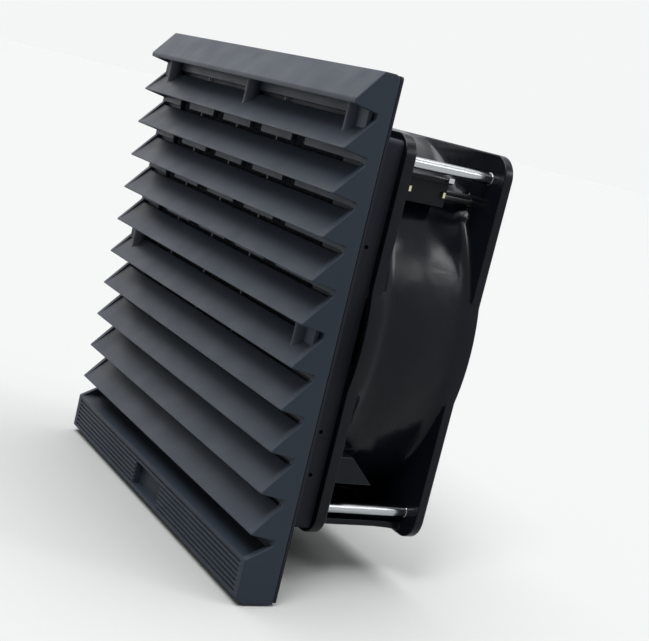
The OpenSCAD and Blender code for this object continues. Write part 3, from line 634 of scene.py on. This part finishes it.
@dataclass
class Assembly:
    """A group of the object's parts that are dressed together."""

    frame: Mapping[str, Any]
    made: ClassVar[dict[str, bpy.types.Material]] = {}
    weld_mm: ClassVar[float] = 0.002
    flat_deg: ClassVar[float] = 0.6
    room_share: ClassVar[float] = 0.4
    least_share: ClassVar[float] = 0.35
    most_corners: ClassVar[int] = 8

    def material_of(self, finish: Finish) -> bpy.types.Material:
        """Returns the finish's material, made once for the whole scene."""
        if finish.name not in self.made:
            self.made[finish.name] = finish.material()
        return self.made[finish.name]

    def finish_nodes(self, names: Iterable[str], finish: Finish) -> None:
        """Gives the named CAD nodes their shared finish."""
        for name in names:
            node = self.frame["nodes"][name]
            node.data.materials.clear()
            node.data.materials.append(self.material_of(finish))
            log.info("finished %s with %s", name, finish.name)

    def show(self, mesh: bpy.types.Mesh, name: str, finish: Finish) -> bpy.types.Object:
        """Puts a mesh into the scene under a name, with its finish, and returns the object."""
        mesh.materials.clear()
        mesh.materials.append(self.material_of(finish))
        piece = bpy.data.objects.new(name, mesh)
        bpy.context.scene.collection.objects.link(piece)
        return piece

    def piece(
        self, made: Moulding, name: str, finish: Finish, body: str, node: str, slot: str
    ) -> None:
        """Turns a moulding into a piece that stands in for a CAD node.

        Args:
            made: The moulding.
            name: Name of the piece.
            finish: Its finish.
            body: The body that it moves with.
            node: The CAD node.
            slot: The record's material slot; not used.
        """
        piece = self.show(made.mesh(name), name, finish)
        flat = piece.modifiers.new("flat_faces", "WEIGHTED_NORMAL")
        flat.keep_sharp = True
        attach(piece, body)
        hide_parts(node)
        log.info("built %s with %d faces", name, len(piece.data.polygons))

    def soften(
        self,
        name: str,
        piece_name: str,
        finish: Finish,
        slot: str,
        width_mm: float,
        segments: int = 2,
    ) -> None:
        """Stands in for a CAD node with a copy that has rounded edges.

        Args:
            name: The CAD node.
            piece_name: Name of the new piece.
            finish: The piece's finish.
            slot: The record's material slot; not used.
            width_mm: Width of the rounding.
            segments: Number of strips in the rounding.
        """
        node = self.frame["nodes"][name]
        mesh = node.data.copy()
        mesh.name = piece_name
        self.weigh_edges(mesh, width_mm * MM)
        mesh.polygons.foreach_set("use_smooth", [True] * len(mesh.polygons))
        piece = self.show(mesh, piece_name, finish)
        bevel = piece.modifiers.new("rounded_edges", "BEVEL")
        bevel.width = width_mm * MM
        bevel.segments = segments
        bevel.limit_method = "WEIGHT"
        bevel.use_clamp_overlap = False
        bevel.loop_slide = False
        bevel.miter_outer = "MITER_ARC"
        flat = piece.modifiers.new("flat_faces", "WEIGHTED_NORMAL")
        flat.keep_sharp = True
        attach(piece, node["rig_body"])
        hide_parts(name)
        log.info("softened %s into %s", name, piece_name)

    def weigh_edges(self, mesh: bpy.types.Mesh, width: float) -> None:
        """Cleans a CAD mesh and weighs its outer edges for rounding.

        Narrow faces and short edges get less, so that the rounding never runs into itself,
        and stay sharp where next to nothing would be left of it.
        Faces of many corners, such as a flange round a bore, are split into triangles.

        Args:
            mesh: The mesh to prepare.
            width: Full width of the rounding in metres.
        """
        shape = bmesh.new()
        shape.from_mesh(mesh)
        bmesh.ops.remove_doubles(shape, verts=shape.verts, dist=self.weld_mm * MM)
        bmesh.ops.dissolve_limit(
            shape, angle_limit=math.radians(self.flat_deg), verts=shape.verts, edges=shape.edges
        )
        bmesh.ops.recalc_face_normals(shape, faces=shape.faces)
        weights = shape.edges.layers.float.new("bevel_weight_edge")
        for edge in shape.edges:
            edge.smooth = True
            if len(edge.link_faces) != 2 or edge.calc_face_angle(0.0) < SHARP_ANGLE:
                continue
            room = min(self.room_beside(edge), edge.calc_length())
            share = min(1.0, self.room_share * room / width)
            if edge.is_convex and share > self.least_share:
                edge[weights] = share
            else:
                edge.smooth = not edge.is_convex
        large = [face for face in shape.faces if len(face.verts) > self.most_corners]
        bmesh.ops.triangulate(shape, faces=large)
        shape.to_mesh(mesh)
        shape.free()

    @staticmethod
    def room_beside(edge: bmesh.types.BMEdge) -> float:
        """Returns the smaller width of an edge's two faces, measured square to the edge."""
        start = edge.verts[0].co
        along = (edge.verts[1].co - start).normalized()
        widths = []
        for face in edge.link_faces:
            offsets = [vert.co - start for vert in face.verts]
            widths.append(max((o - along * o.dot(along)).length for o in offsets))
        return min(widths)


@dataclass
class Cover(Assembly):
    """The louvred cover in grained ABS, with the sizes of its moulding in millimetres."""

    half: float = 74.25
    depth: float = 12.8
    wall: float = 2.0
    skirt_y: float = -1.0
    edge: float = 0.3
    nose: float = 0.16
    draft: float = 0.06
    overlap: float = 0.1

    blade_count: int = 10
    blade_t: float = 1.6
    blade_rear: float = -4.4
    land: float = 0.4
    slit: float = 1.2
    lip_drop: float = 2.6
    root_y: float = -5.3
    tooth_under: float = 1.3
    tooth_drop: float = 2.9
    notch_w: float = 8.5
    notch_h: float = 3.0
    notch_pitch: float = 29.0
    notch_shift: float = 9.6
    bar_w: float = 0.8
    bar_setback: float = 0.45

    hood_drop: float = 8.4
    hood_setback: float = 5.9
    hood_fascia: float = 1.3
    post_d: float = 4.8
    post_setback: float = 6.3
    post_inset: float = 9.75
    post_reach: float = 2.6
    post_sink: float = 0.2
    post_flare: float = 0.3
    flare_h: float = 0.5
    web_t: float = 1.2
    web_foot: float = 1.0

    grip_h: float = 13.15
    grip_gap: float = 7.1
    grip_wall: float = 2.2
    grip_fillet: float = 1.0
    grip_brow: float = 2.0
    grip_lap: float = 1.6
    rib_top: float = 1.3
    rib_pitch: float = 1.4
    rib_depth: float = 0.6
    rib_lean: float = 0.04
    rib_edge: float = 0.14
    rib_count: int = 8
    rib_margin: float = 0.8
    end_groove: float = 0.05
    recess_w: float = 21.5
    recess_d: float = 2.5
    recess_wall: float = 0.8
    recess_top: int = 1
    recess_bottom: int = 6
    chamfer_d: float = 2.2
    chamfer_h: float = 1.6

    hinge_r: float = 1.7
    rear_cut: float = 0.5
    rear_run: float = 0.4
    bead_steps: int = 14
    bead_sweep_deg: float = 255.0
    pin_d: float = 1.8
    pin_hold: float = 1.0
    knuckle_w: float = 6.0
    knuckle_x: float = 40.0
    knuckle_gap: float = 0.3
    knuckle_cut: float = 0.25
    knuckle_step: float = 0.05
    tongue_x: float = 42.0
    tongue_w: float = 8.0
    tongue_z: float = 5.2
    tongue_rear: float = -1.8
    tongue_t: float = 1.4
    tongue_tip: float = 0.9
    tongue_sink: float = 1.6

    @property
    def tip_y(self) -> float:
        """Front edges of the louvres."""
        return -self.depth

    @property
    def inner_x(self) -> float:
        """Ends of the louvres, just inside the side plates."""
        return self.half - self.wall + self.overlap

    @property
    def hinge(self) -> Point:
        """Centre of the hinge edge."""
        return (self.skirt_y - self.hinge_r, self.half - self.hinge_r)

    @property
    def pitch(self) -> float:
        """Spacing of the louvres."""
        return (self.tip_z(0) + self.half - self.grip_h - self.grip_gap) / self.blade_count

    @property
    def run(self) -> float:
        """Depth of a louvre from its front edge to its lip."""
        return self.root_y - self.tip_y

    @property
    def slope(self) -> float:
        """Rise of a louvre's top face for each millimetre of depth."""
        return (self.pitch - self.lip_drop - self.land - self.slit) / self.run

    def tip_z(self, k: int) -> float:
        """Height of the front edge of louvre k, the hood being number 0."""
        first = self.half - self.hood_drop - self.hood_fascia
        return first if k == 0 else first - k * self.pitch

    def build(self) -> None:
        """Builds the sides, hood, louvres and grip."""
        for name, part in (
            ("cover_sides", self.sides()),
            ("cover_hood", self.hood()),
            ("cover_louvres", self.louvres()),
            ("cover_grip", self.grip()),
        ):
            self.piece(part, name, COVER_ABS, "cover", "louvre_cover", "cover_plastic")

    def sides(self) -> Moulding:
        """Builds the two saw-tooth side plates."""
        hinge_y, hinge_z = self.hinge
        outline: list[Point] = [
            (self.skirt_y, hinge_z - self.rear_cut),
            (self.skirt_y, hinge_z + self.rear_run),
            (self.skirt_y - self.rear_cut, self.half - self.rear_cut),
            (hinge_y + self.rear_run, self.half),
            (-self.hood_setback, self.half),
            (self.tip_y, self.half - self.hood_drop),
        ]
        for k in range(self.blade_count + 1):
            tip = self.tip_z(k)
            if k:
                outline.append((self.tip_y, tip + self.land))
            outline += [
                (self.tip_y, tip),
                (self.root_y, tip - self.tooth_under),
                (self.root_y, tip - self.tooth_drop),
            ]
        outline += [
            (self.tip_y, self.grip_h - self.half),
            (self.tip_y, self.chamfer_h - self.half),
            (self.tip_y + self.chamfer_d, -self.half),
            (self.skirt_y, -self.half),
        ]
        made = Moulding()
        for side in (-1, 1):
            made.slab(side * (self.half - self.wall), side * self.half, outline, self.edge)
        return made

    def hood_outline(self, at_knuckle: bool) -> list[Point]:
        """Draws the hood's section.

        Args:
            at_knuckle: Whether the rear edge is cut back for a hinge knuckle.

        Returns:
            The section's outline.
        """
        hinge_y, hinge_z = self.hinge
        slope = self.hood_drop / (self.depth - self.hood_setback)
        wall_v = self.wall * math.hypot(1, slope)
        top = self.tip_z(0) + self.hood_fascia
        low = self.tip_z(0) - self.lip_drop
        front = rounded(
            [
                (hinge_y, self.half - self.wall),
                (self.blade_rear, self.half - self.wall),
                (self.blade_rear, low),
                (self.root_y, low),
                (self.root_y, top + slope * self.run - wall_v),
                (self.tip_y + (wall_v - self.hood_fascia) / slope, self.tip_z(0)),
                (self.tip_y, self.tip_z(0)),
                (self.tip_y, top),
                (-self.hood_setback, self.half),
                (hinge_y, self.half),
            ],
            self.edge,
        )[4:-4]
        steps, last = range(self.bead_steps + 1), self.bead_steps
        if at_knuckle:
            cut = hinge_y - self.hinge_r - self.knuckle_cut
            return front + [(cut, self.half - self.wall * i / last) for i in steps]
        r = self.hinge_r
        turns = [math.radians(90 - self.bead_sweep_deg * i / last) for i in steps]
        return front + [(hinge_y + r * math.cos(t), hinge_z + r * math.sin(t)) for t in turns]

    def hood(self) -> Moulding:
        """Builds the hood with its hinge edge, cut back at the knuckles, and its pins."""
        made = Moulding()
        gap = self.knuckle_w / 2 + self.knuckle_gap
        whole, cut = self.hood_outline(False), self.hood_outline(True)
        stations = [(-self.inner_x, whole)]
        for x in (-self.knuckle_x, self.knuckle_x):
            stations += [
                (x - gap - self.knuckle_step, whole),
                (x - gap, cut),
                (x + gap, cut),
                (x + gap + self.knuckle_step, whole),
            ]
        stations.append((self.inner_x, whole))
        made.loft(stations)
        pin = circle(self.pin_d / 2, *self.hinge)
        for x in (-self.knuckle_x, self.knuckle_x):
            made.loft([(x - gap - self.pin_hold, pin), (x + gap + self.pin_hold, pin)])
        return made

    def blade_outline(self, notch: float) -> list[Point]:
        """Draws the section of a louvre from its front edge.

        Args:
            notch: Height by which the lip is cut back.

        Returns:
            The section's outline.
        """
        plate = self.blade_t * math.hypot(1, self.slope)
        rise = self.land + self.slope * self.run
        rear = self.blade_rear - self.tip_y
        low = notch - self.lip_drop
        return rounded(
            [
                (0, 0),
                (0, self.land),
                (self.run, rise),
                (rear, rise),
                (rear, low),
                (self.run, low),
                (self.run, rise - plate),
                ((plate - self.land) / self.slope, 0),
            ],
            self.nose,
        )

    def louvres(self) -> Moulding:
        """Builds the louvres with their notched lips, the posts, the webs and the bars."""
        made = Moulding()
        whole, notch = self.blade_outline(0.0), self.blade_outline(self.notch_h)
        stations = [(-self.inner_x, whole)]
        for i in (-1.5, -0.5, 0.5, 1.5):
            start = i * self.notch_pitch - self.notch_shift - self.notch_w / 2
            end = start + self.notch_w
            stations += [
                (start, whole),
                (start + self.draft, notch),
                (end - self.draft, notch),
                (end, whole),
            ]
        stations.append((self.inner_x, whole))
        for k in range(1, self.blade_count + 1):
            made.loft(stations, Matrix.Translation((0, self.tip_y, self.tip_z(k))))
        self.add_posts(made)
        front, rear = self.root_y + self.bar_setback, self.blade_rear - self.overlap
        low, high = self.tip_z(self.blade_count), self.tip_z(0)
        bar = rounded([(front, low), (front, high), (rear, high), (rear, low)], self.nose)
        for i in (-1, 0, 1):
            x = i * self.notch_pitch - self.notch_shift
            made.loft([(x - self.bar_w / 2, bar), (x + self.bar_w / 2, bar)])
        return made

    def add_posts(self, made: Moulding) -> None:
        """Adds the posts under the hood and in one lower valley, with their webs.

        Args:
            made: The moulding that gets them.
        """
        front = self.post_setback - self.post_d / 2
        y = self.tip_y + self.post_setback
        inner = self.half - self.post_inset
        for k, x in ((0, 0.0), (0, -inner), (0, inner), (5, -inner), (5, inner)):
            foot = self.tip_z(k + 1) + self.land + self.slope * front - self.post_sink
            head = self.tip_z(k) + self.post_reach
            radius = self.post_d / 2
            rings = [
                (foot, radius + self.post_flare),
                (foot + self.flare_h, radius),
                (head - self.flare_h, radius),
                (head, radius + self.post_flare),
            ]
            upright = Matrix.Translation((x, y, 0)) @ Matrix.Rotation(-math.pi / 2, 4, "Y")
            made.loft([(z, circle(r)) for z, r in rings], upright)
            if x:
                side = math.copysign(1.0, x)
                near = self.web_t / 2
                low = foot + self.web_foot
                web = rounded(
                    [(y - near, low), (y - near, head), (y + near, head), (y + near, low)],
                    self.nose,
                )
                ends = sorted((x, side * (self.half - self.wall + 2 * self.overlap)))
                made.loft([(ends[0], web), (ends[1], web)])

    def grip_outline(self, groove: float, recess: float) -> list[Point]:
        """Draws the section of the grip block.

        Args:
            groove: Depth of the grooves between the ribs.
            recess: Depth of the finger recess.

        Returns:
            The section's outline.
        """
        top = self.grip_h - self.half
        back = self.tip_y + (self.recess_d + self.recess_wall if recess else self.grip_wall)
        first, last = (self.recess_top, self.recess_bottom) if recess else (0, -1)
        corners: list[Point] = [(self.tip_y, top)]
        for i in range(self.rib_count - 1):
            upper = top - self.rib_top - i * self.rib_pitch
            lower = upper - self.rib_pitch / 2
            hollow = recess if first <= i <= last else groove
            outer = recess if first < i <= last else 0.0
            inner = recess if first <= i < last else 0.0
            corners += [
                (self.tip_y + outer, upper),
                (self.tip_y + hollow, upper - self.rib_lean),
                (self.tip_y + hollow, lower + self.rib_lean),
                (self.tip_y + inner, lower),
            ]
        corners += [
            (self.tip_y, self.chamfer_h - self.half),
            (self.tip_y + self.chamfer_d, -self.half),
            (self.skirt_y, -self.half),
            (self.skirt_y, self.wall - self.half),
            (back + self.grip_fillet, self.wall - self.half),
            (back, self.wall + self.grip_fillet - self.half),
            (back, top - self.grip_brow),
            (self.blade_rear, top - 2 * self.overlap),
            (self.blade_rear, top + self.grip_lap),
        ]
        return rounded(corners, self.rib_edge, 2)

    def grip(self) -> Moulding:
        """Builds the ribbed grip block with its finger recess and the two latch tongues."""
        made = Moulding()
        plain = self.grip_outline(self.end_groove, 0.0)
        ribbed = self.grip_outline(self.rib_depth, 0.0)
        hollow = self.grip_outline(self.rib_depth, self.recess_d)
        edge_x, recess_x = self.inner_x - self.rib_margin, self.recess_w / 2
        made.loft(
            [
                (-self.inner_x, plain),
                (-edge_x, plain),
                (-edge_x + self.draft, ribbed),
                (-recess_x - self.draft, ribbed),
                (-recess_x, hollow),
                (recess_x, hollow),
                (recess_x + self.draft, ribbed),
                (edge_x - self.draft, ribbed),
                (edge_x, plain),
                (self.inner_x, plain),
            ]
        )
        low = -self.half + self.tongue_z
        front, rear = self.tip_y + self.tongue_sink, self.tongue_rear
        tongue = rounded(
            [
                (front, low),
                (rear, low),
                (rear, low + self.tongue_tip),
                (rear - self.tongue_t, low + self.tongue_t),
                (front, low + self.tongue_t),
            ],
            self.edge,
        )
        for x in (-self.tongue_x, self.tongue_x):
            made.loft([(x - self.tongue_w / 2, tongue), (x + self.tongue_w / 2, tongue)])
        return made


@dataclass
class BaseFrame(Assembly):
    """The base frame with its gasket, grid and spring clips."""

    def build(self) -> None:
        """Finishes the frame, the grid, the gasket and the clips."""
        self.finish_nodes(["base_frame", "filter_grid"], FRAME_ABS)
        self.finish_nodes(["panel_gasket"], GASKET_FOAM)
        sides, levels = ("right", "left"), ("upper", "lower")
        clips = [f"clip_{side}_{level}" for side in sides for level in levels]
        self.finish_nodes(clips, CLIP_STEEL)


@dataclass
class FilterMat(Assembly):
    """The filter mat, a soft open-cell block."""

    step_mm: float = 2.0
    corner_mm: float = 2.0
    lump_mm: float = 0.5
    lump_size_mm: float = 7.0

    def build(self) -> None:
        """Builds the mat inside its CAD block, with uneven faces and soft edges."""
        low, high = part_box("filter_mat")
        size = high - low
        centre = (high + low) / 2
        mesh = bpy.data.meshes.new("mat_block")
        shape = bmesh.new()
        bmesh.ops.create_cube(shape, size=1.0)
        cuts = [max(2, round(side / (self.step_mm * MM))) for side in size]
        for axis in range(3):
            runs = [abs((e.verts[0].co - e.verts[1].co)[axis]) for e in shape.edges]
            edges = [e for e, run in zip(shape.edges, runs) if run > NEARLY_ZERO]
            bmesh.ops.subdivide_edges(shape, edges=edges, cuts=cuts[axis] - 1, use_grid_fill=True)
        for vert in shape.verts:
            vert.co = self.soft_place(Vector([c * s for c, s in zip(vert.co, size)]), size) + centre
        for face in shape.faces:
            face.smooth = True
        shape.to_mesh(mesh)
        shape.free()
        piece = self.show(mesh, "mat_foam", FILTER_FLEECE)
        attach(piece, "frame")
        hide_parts("filter_mat")
        log.info("built the filter mat with %d faces", len(mesh.polygons))

    def soft_place(self, place: Vector, size: Vector) -> Vector:
        """Returns a point of the block moved inwards, for round edges and uneven faces."""
        radius = self.corner_mm * MM
        core = Vector([max(-s / 2 + radius, min(s / 2 - radius, c)) for c, s in zip(place, size)])
        out = place - core
        if out.length > radius:
            out = out.normalized() * radius
        wave = noise.noise(place / (self.lump_size_mm * MM)) * 0.5 + 0.5
        inward = out.normalized() * wave * self.lump_mm * MM if out.length > 0 else Vector()
        return core + out - inward


@dataclass
class FanCasing(Assembly):
    """The fan's housing, its screws and its bare rating plate."""

    edge_mm: float = 0.4
    edge_strips: int = 3
    screw_edge_mm: float = 0.2

    def build(self) -> None:
        """Softens the casting and the screws and finishes what is fixed to them."""
        width, strips = self.edge_mm, self.edge_strips
        self.soften("fan_housing", "housing_casting", HOUSING_ENAMEL, "housing_enamel", width, strips)
        width = self.screw_edge_mm
        self.soften("fan_screws", "long_screws", SCREW_STEEL, "polished_steel", width)
        self.finish_nodes(["spring_washers", "flat_washers"], WASHER_STEEL)
        self.finish_nodes(["rating_plate"], PLATE_ALUMINIUM)


@dataclass
class Terminals(Assembly):
    """The terminal block, its tabs and the motor leads."""

    edge_mm: float = 0.2

    def build(self) -> None:
        """Softens the block and finishes its metal parts and leads."""
        self.soften(
            "terminal_block", "terminal_moulding", TERMINAL_PBT, "terminal_plastic", self.edge_mm
        )
        self.finish_nodes(["terminal_tabs"], TERMINAL_TIN)
        self.finish_nodes(["earth_tab"], EARTH_TIN)
        self.finish_nodes(["motor_leads"], LEAD_PVC)


@dataclass
class Rotor(Assembly):
    """The impeller and all that turns with it."""

    edge_mm: float = 0.3

    def build(self) -> None:
        """Softens the impeller and finishes the rotor's inner parts."""
        self.soften(
            "impeller", "impeller_moulding", IMPELLER_NYLON, "impeller_plastic", self.edge_mm
        )
        self.finish_nodes(["rotor_cup"], CUP_STEEL)
        self.finish_nodes(["rotor_cage"], CAGE_ALUMINIUM)
        self.finish_nodes(["motor_shaft"], SCREW_STEEL)
        self.finish_nodes(["retaining_ring", "preload_spring"], RING_STEEL)
        self.finish_nodes(["thrust_washer"], WASHER_FIBRE)


@dataclass
class Bearings(Assembly):
    """The two ball bearings."""

    def build(self) -> None:
        """Finishes the rings, balls and cages."""
        ground = ["bearing_outer_rings", "bearing_inner_rings", "bearing_balls"]
        self.finish_nodes(ground, GROUND_STEEL)
        self.finish_nodes(["ball_cages"], CAGE_BRASS)


@dataclass
class Stator(Assembly):
    """The motor's standing parts."""

    def build(self) -> None:
        """Finishes the core, coils, bobbins and shading rings."""
        self.finish_nodes(["stator_core"], CORE_STEEL)
        self.finish_nodes(["stator_coils"], COIL_COPPER)
        self.finish_nodes(["coil_bobbins"], BOBBIN_NYLON)
        self.finish_nodes(["shading_rings"], RING_COPPER)


@dataclass(frozen=True)
class SoftSun:
    """A broad, far light: as even over the floor as over the object."""

    name: str
    towards: tuple[float, float, float]
    strength: float
    width_deg: float

    def build(self) -> None:
        """Hangs the light so that it shines from its direction."""
        data = bpy.data.lights.new(self.name, "SUN")
        data.energy = self.strength
        data.angle = math.radians(self.width_deg)
        lamp = bpy.data.objects.new(self.name, data)
        lamp.rotation_euler = Vector(self.towards).to_track_quat("Z", "Y").to_euler()
        lamp.location = Vector(self.towards)
        bpy.context.scene.collection.objects.link(lamp)


@dataclass
class Studio:
    """Floor, soft light and the camera at the photograph's angle."""

    floor_drop: float = 0.0005
    floor_radius: float = 12.0
    floor_sides: int = 96
    floor_colour: str = "#9ea09f"
    sky_colour: str = "#f4f6f6"
    sky_light: float = 0.38
    camera_place: tuple[float, float, float] = (0.36625, -0.17936, 0.06314)
    camera_target: tuple[float, float, float] = (0.00844, 0.03262, -0.00507)
    camera_roll: float = 13.637
    focal_px: float = 1297.08
    nearest: float = 0.01
    farthest: float = 50.0
    suns: tuple[SoftSun, ...] = (
        SoftSun("top_light", (-0.05, 0.05, 1.0), 5.0, 60.0),
        SoftSun("key_light", (0.33, -0.47, 0.82), 1.9, 20.0),
        SoftSun("left_light", (-0.88, -0.15, 0.45), 0.42, 40.0),
        SoftSun("low_light", (-0.88, -0.45, 0.08), 0.4, 26.0),
        SoftSun("near_rim_light", (0.72, 0.44, 0.5), 0.2, 13.0),
        SoftSun("far_rim_light", (0.48, 0.69, 0.5), 0.8, 15.0),
    )

    def build(self, low: Vector) -> None:
        """Builds the whole studio round an object whose lowest corner is given."""
        scene = bpy.context.scene
        scene.view_settings.view_transform = "Standard"
        self.lay_floor(low.z)
        self.hang_sky(scene)
        for sun in self.suns:
            sun.build()
        self.set_camera(scene)

    def lay_floor(self, height: float) -> None:
        """Lays a round pale floor just under the object."""
        mesh = bpy.data.meshes.new("floor")
        shape = bmesh.new()
        bmesh.ops.create_circle(
            shape, cap_ends=True, segments=self.floor_sides, radius=self.floor_radius
        )
        shape.to_mesh(mesh)
        shape.free()
        floor = bpy.data.objects.new("floor", mesh)
        floor.location.z = height - self.floor_drop
        bpy.context.scene.collection.objects.link(floor)
        made = bpy.data.materials.new("floor_paper")
        made.use_nodes = True
        shader = made.node_tree.nodes["Principled BSDF"]
        shader.inputs["Base Color"].default_value = linear(self.floor_colour)
        shader.inputs["Roughness"].default_value = 1.0
        shader.inputs["Specular IOR Level"].default_value = 0.0
        mesh.materials.append(made)
        floor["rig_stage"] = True

    def hang_sky(self, scene: bpy.types.Scene) -> None:
        """Lights the scene from all round and shows camera and gloss rays a full white sky."""
        world = bpy.data.worlds.new("studio")
        world.use_nodes = True
        scene.world = world
        world.node_tree.nodes.clear()
        graph = Graph(world.node_tree)
        path = graph.add_node("ShaderNodeLightPath")
        shown = graph.add_node(
            "ShaderNodeMath",
            {"operation": "MAXIMUM"},
            {0: path.outputs["Is Camera Ray"], 1: path.outputs["Is Glossy Ray"]},
        )
        light = graph.add_node(
            "ShaderNodeBackground", {"Color": linear(self.sky_colour), "Strength": self.sky_light}
        )
        backdrop = graph.add_node(
            "ShaderNodeBackground", {"Color": linear(self.sky_colour), "Strength": 1.0}
        )
        mix = graph.add_node(
            "ShaderNodeMixShader",
            links={
                0: shown.outputs["Value"],
                1: light.outputs["Background"],
                2: backdrop.outputs["Background"],
            },
        )
        graph.add_node("ShaderNodeOutputWorld", links={"Surface": mix.outputs["Shader"]})

    def set_camera(self, scene: bpy.types.Scene) -> None:
        """Puts the camera where the photograph was taken from."""
        data = bpy.data.cameras.new("camera")
        data.sensor_width = SENSOR_WIDTH
        data.lens = self.focal_px * SENSOR_WIDTH / PICTURE_WIDTH
        data.clip_start = self.nearest
        data.clip_end = self.farthest
        camera = bpy.data.objects.new("camera", data)
        place, target = Vector(self.camera_place), Vector(self.camera_target)
        turn = (target - place).to_track_quat("-Z", "Y").to_matrix()
        roll = Matrix.Rotation(math.radians(self.camera_roll), 3, "Z")
        camera.matrix_world = Matrix.Translation(place) @ (turn @ roll).to_4x4()
        scene.collection.objects.link(camera)
        scene.camera = camera


def main() -> None:
    """Builds the dressed object and its studio in order."""
    logging.basicConfig(level=logging.INFO, format="%(message)s")
    for item in list(bpy.data.objects):
        bpy.data.objects.remove(item)
    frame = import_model()
    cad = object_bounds()
    groups = (Cover, BaseFrame, FilterMat, FanCasing, Terminals, Rotor, Bearings, Stator)
    for group in groups:
        group(frame).build()
    Studio().build(cad[0])


if __name__ == "__main__":
    main()
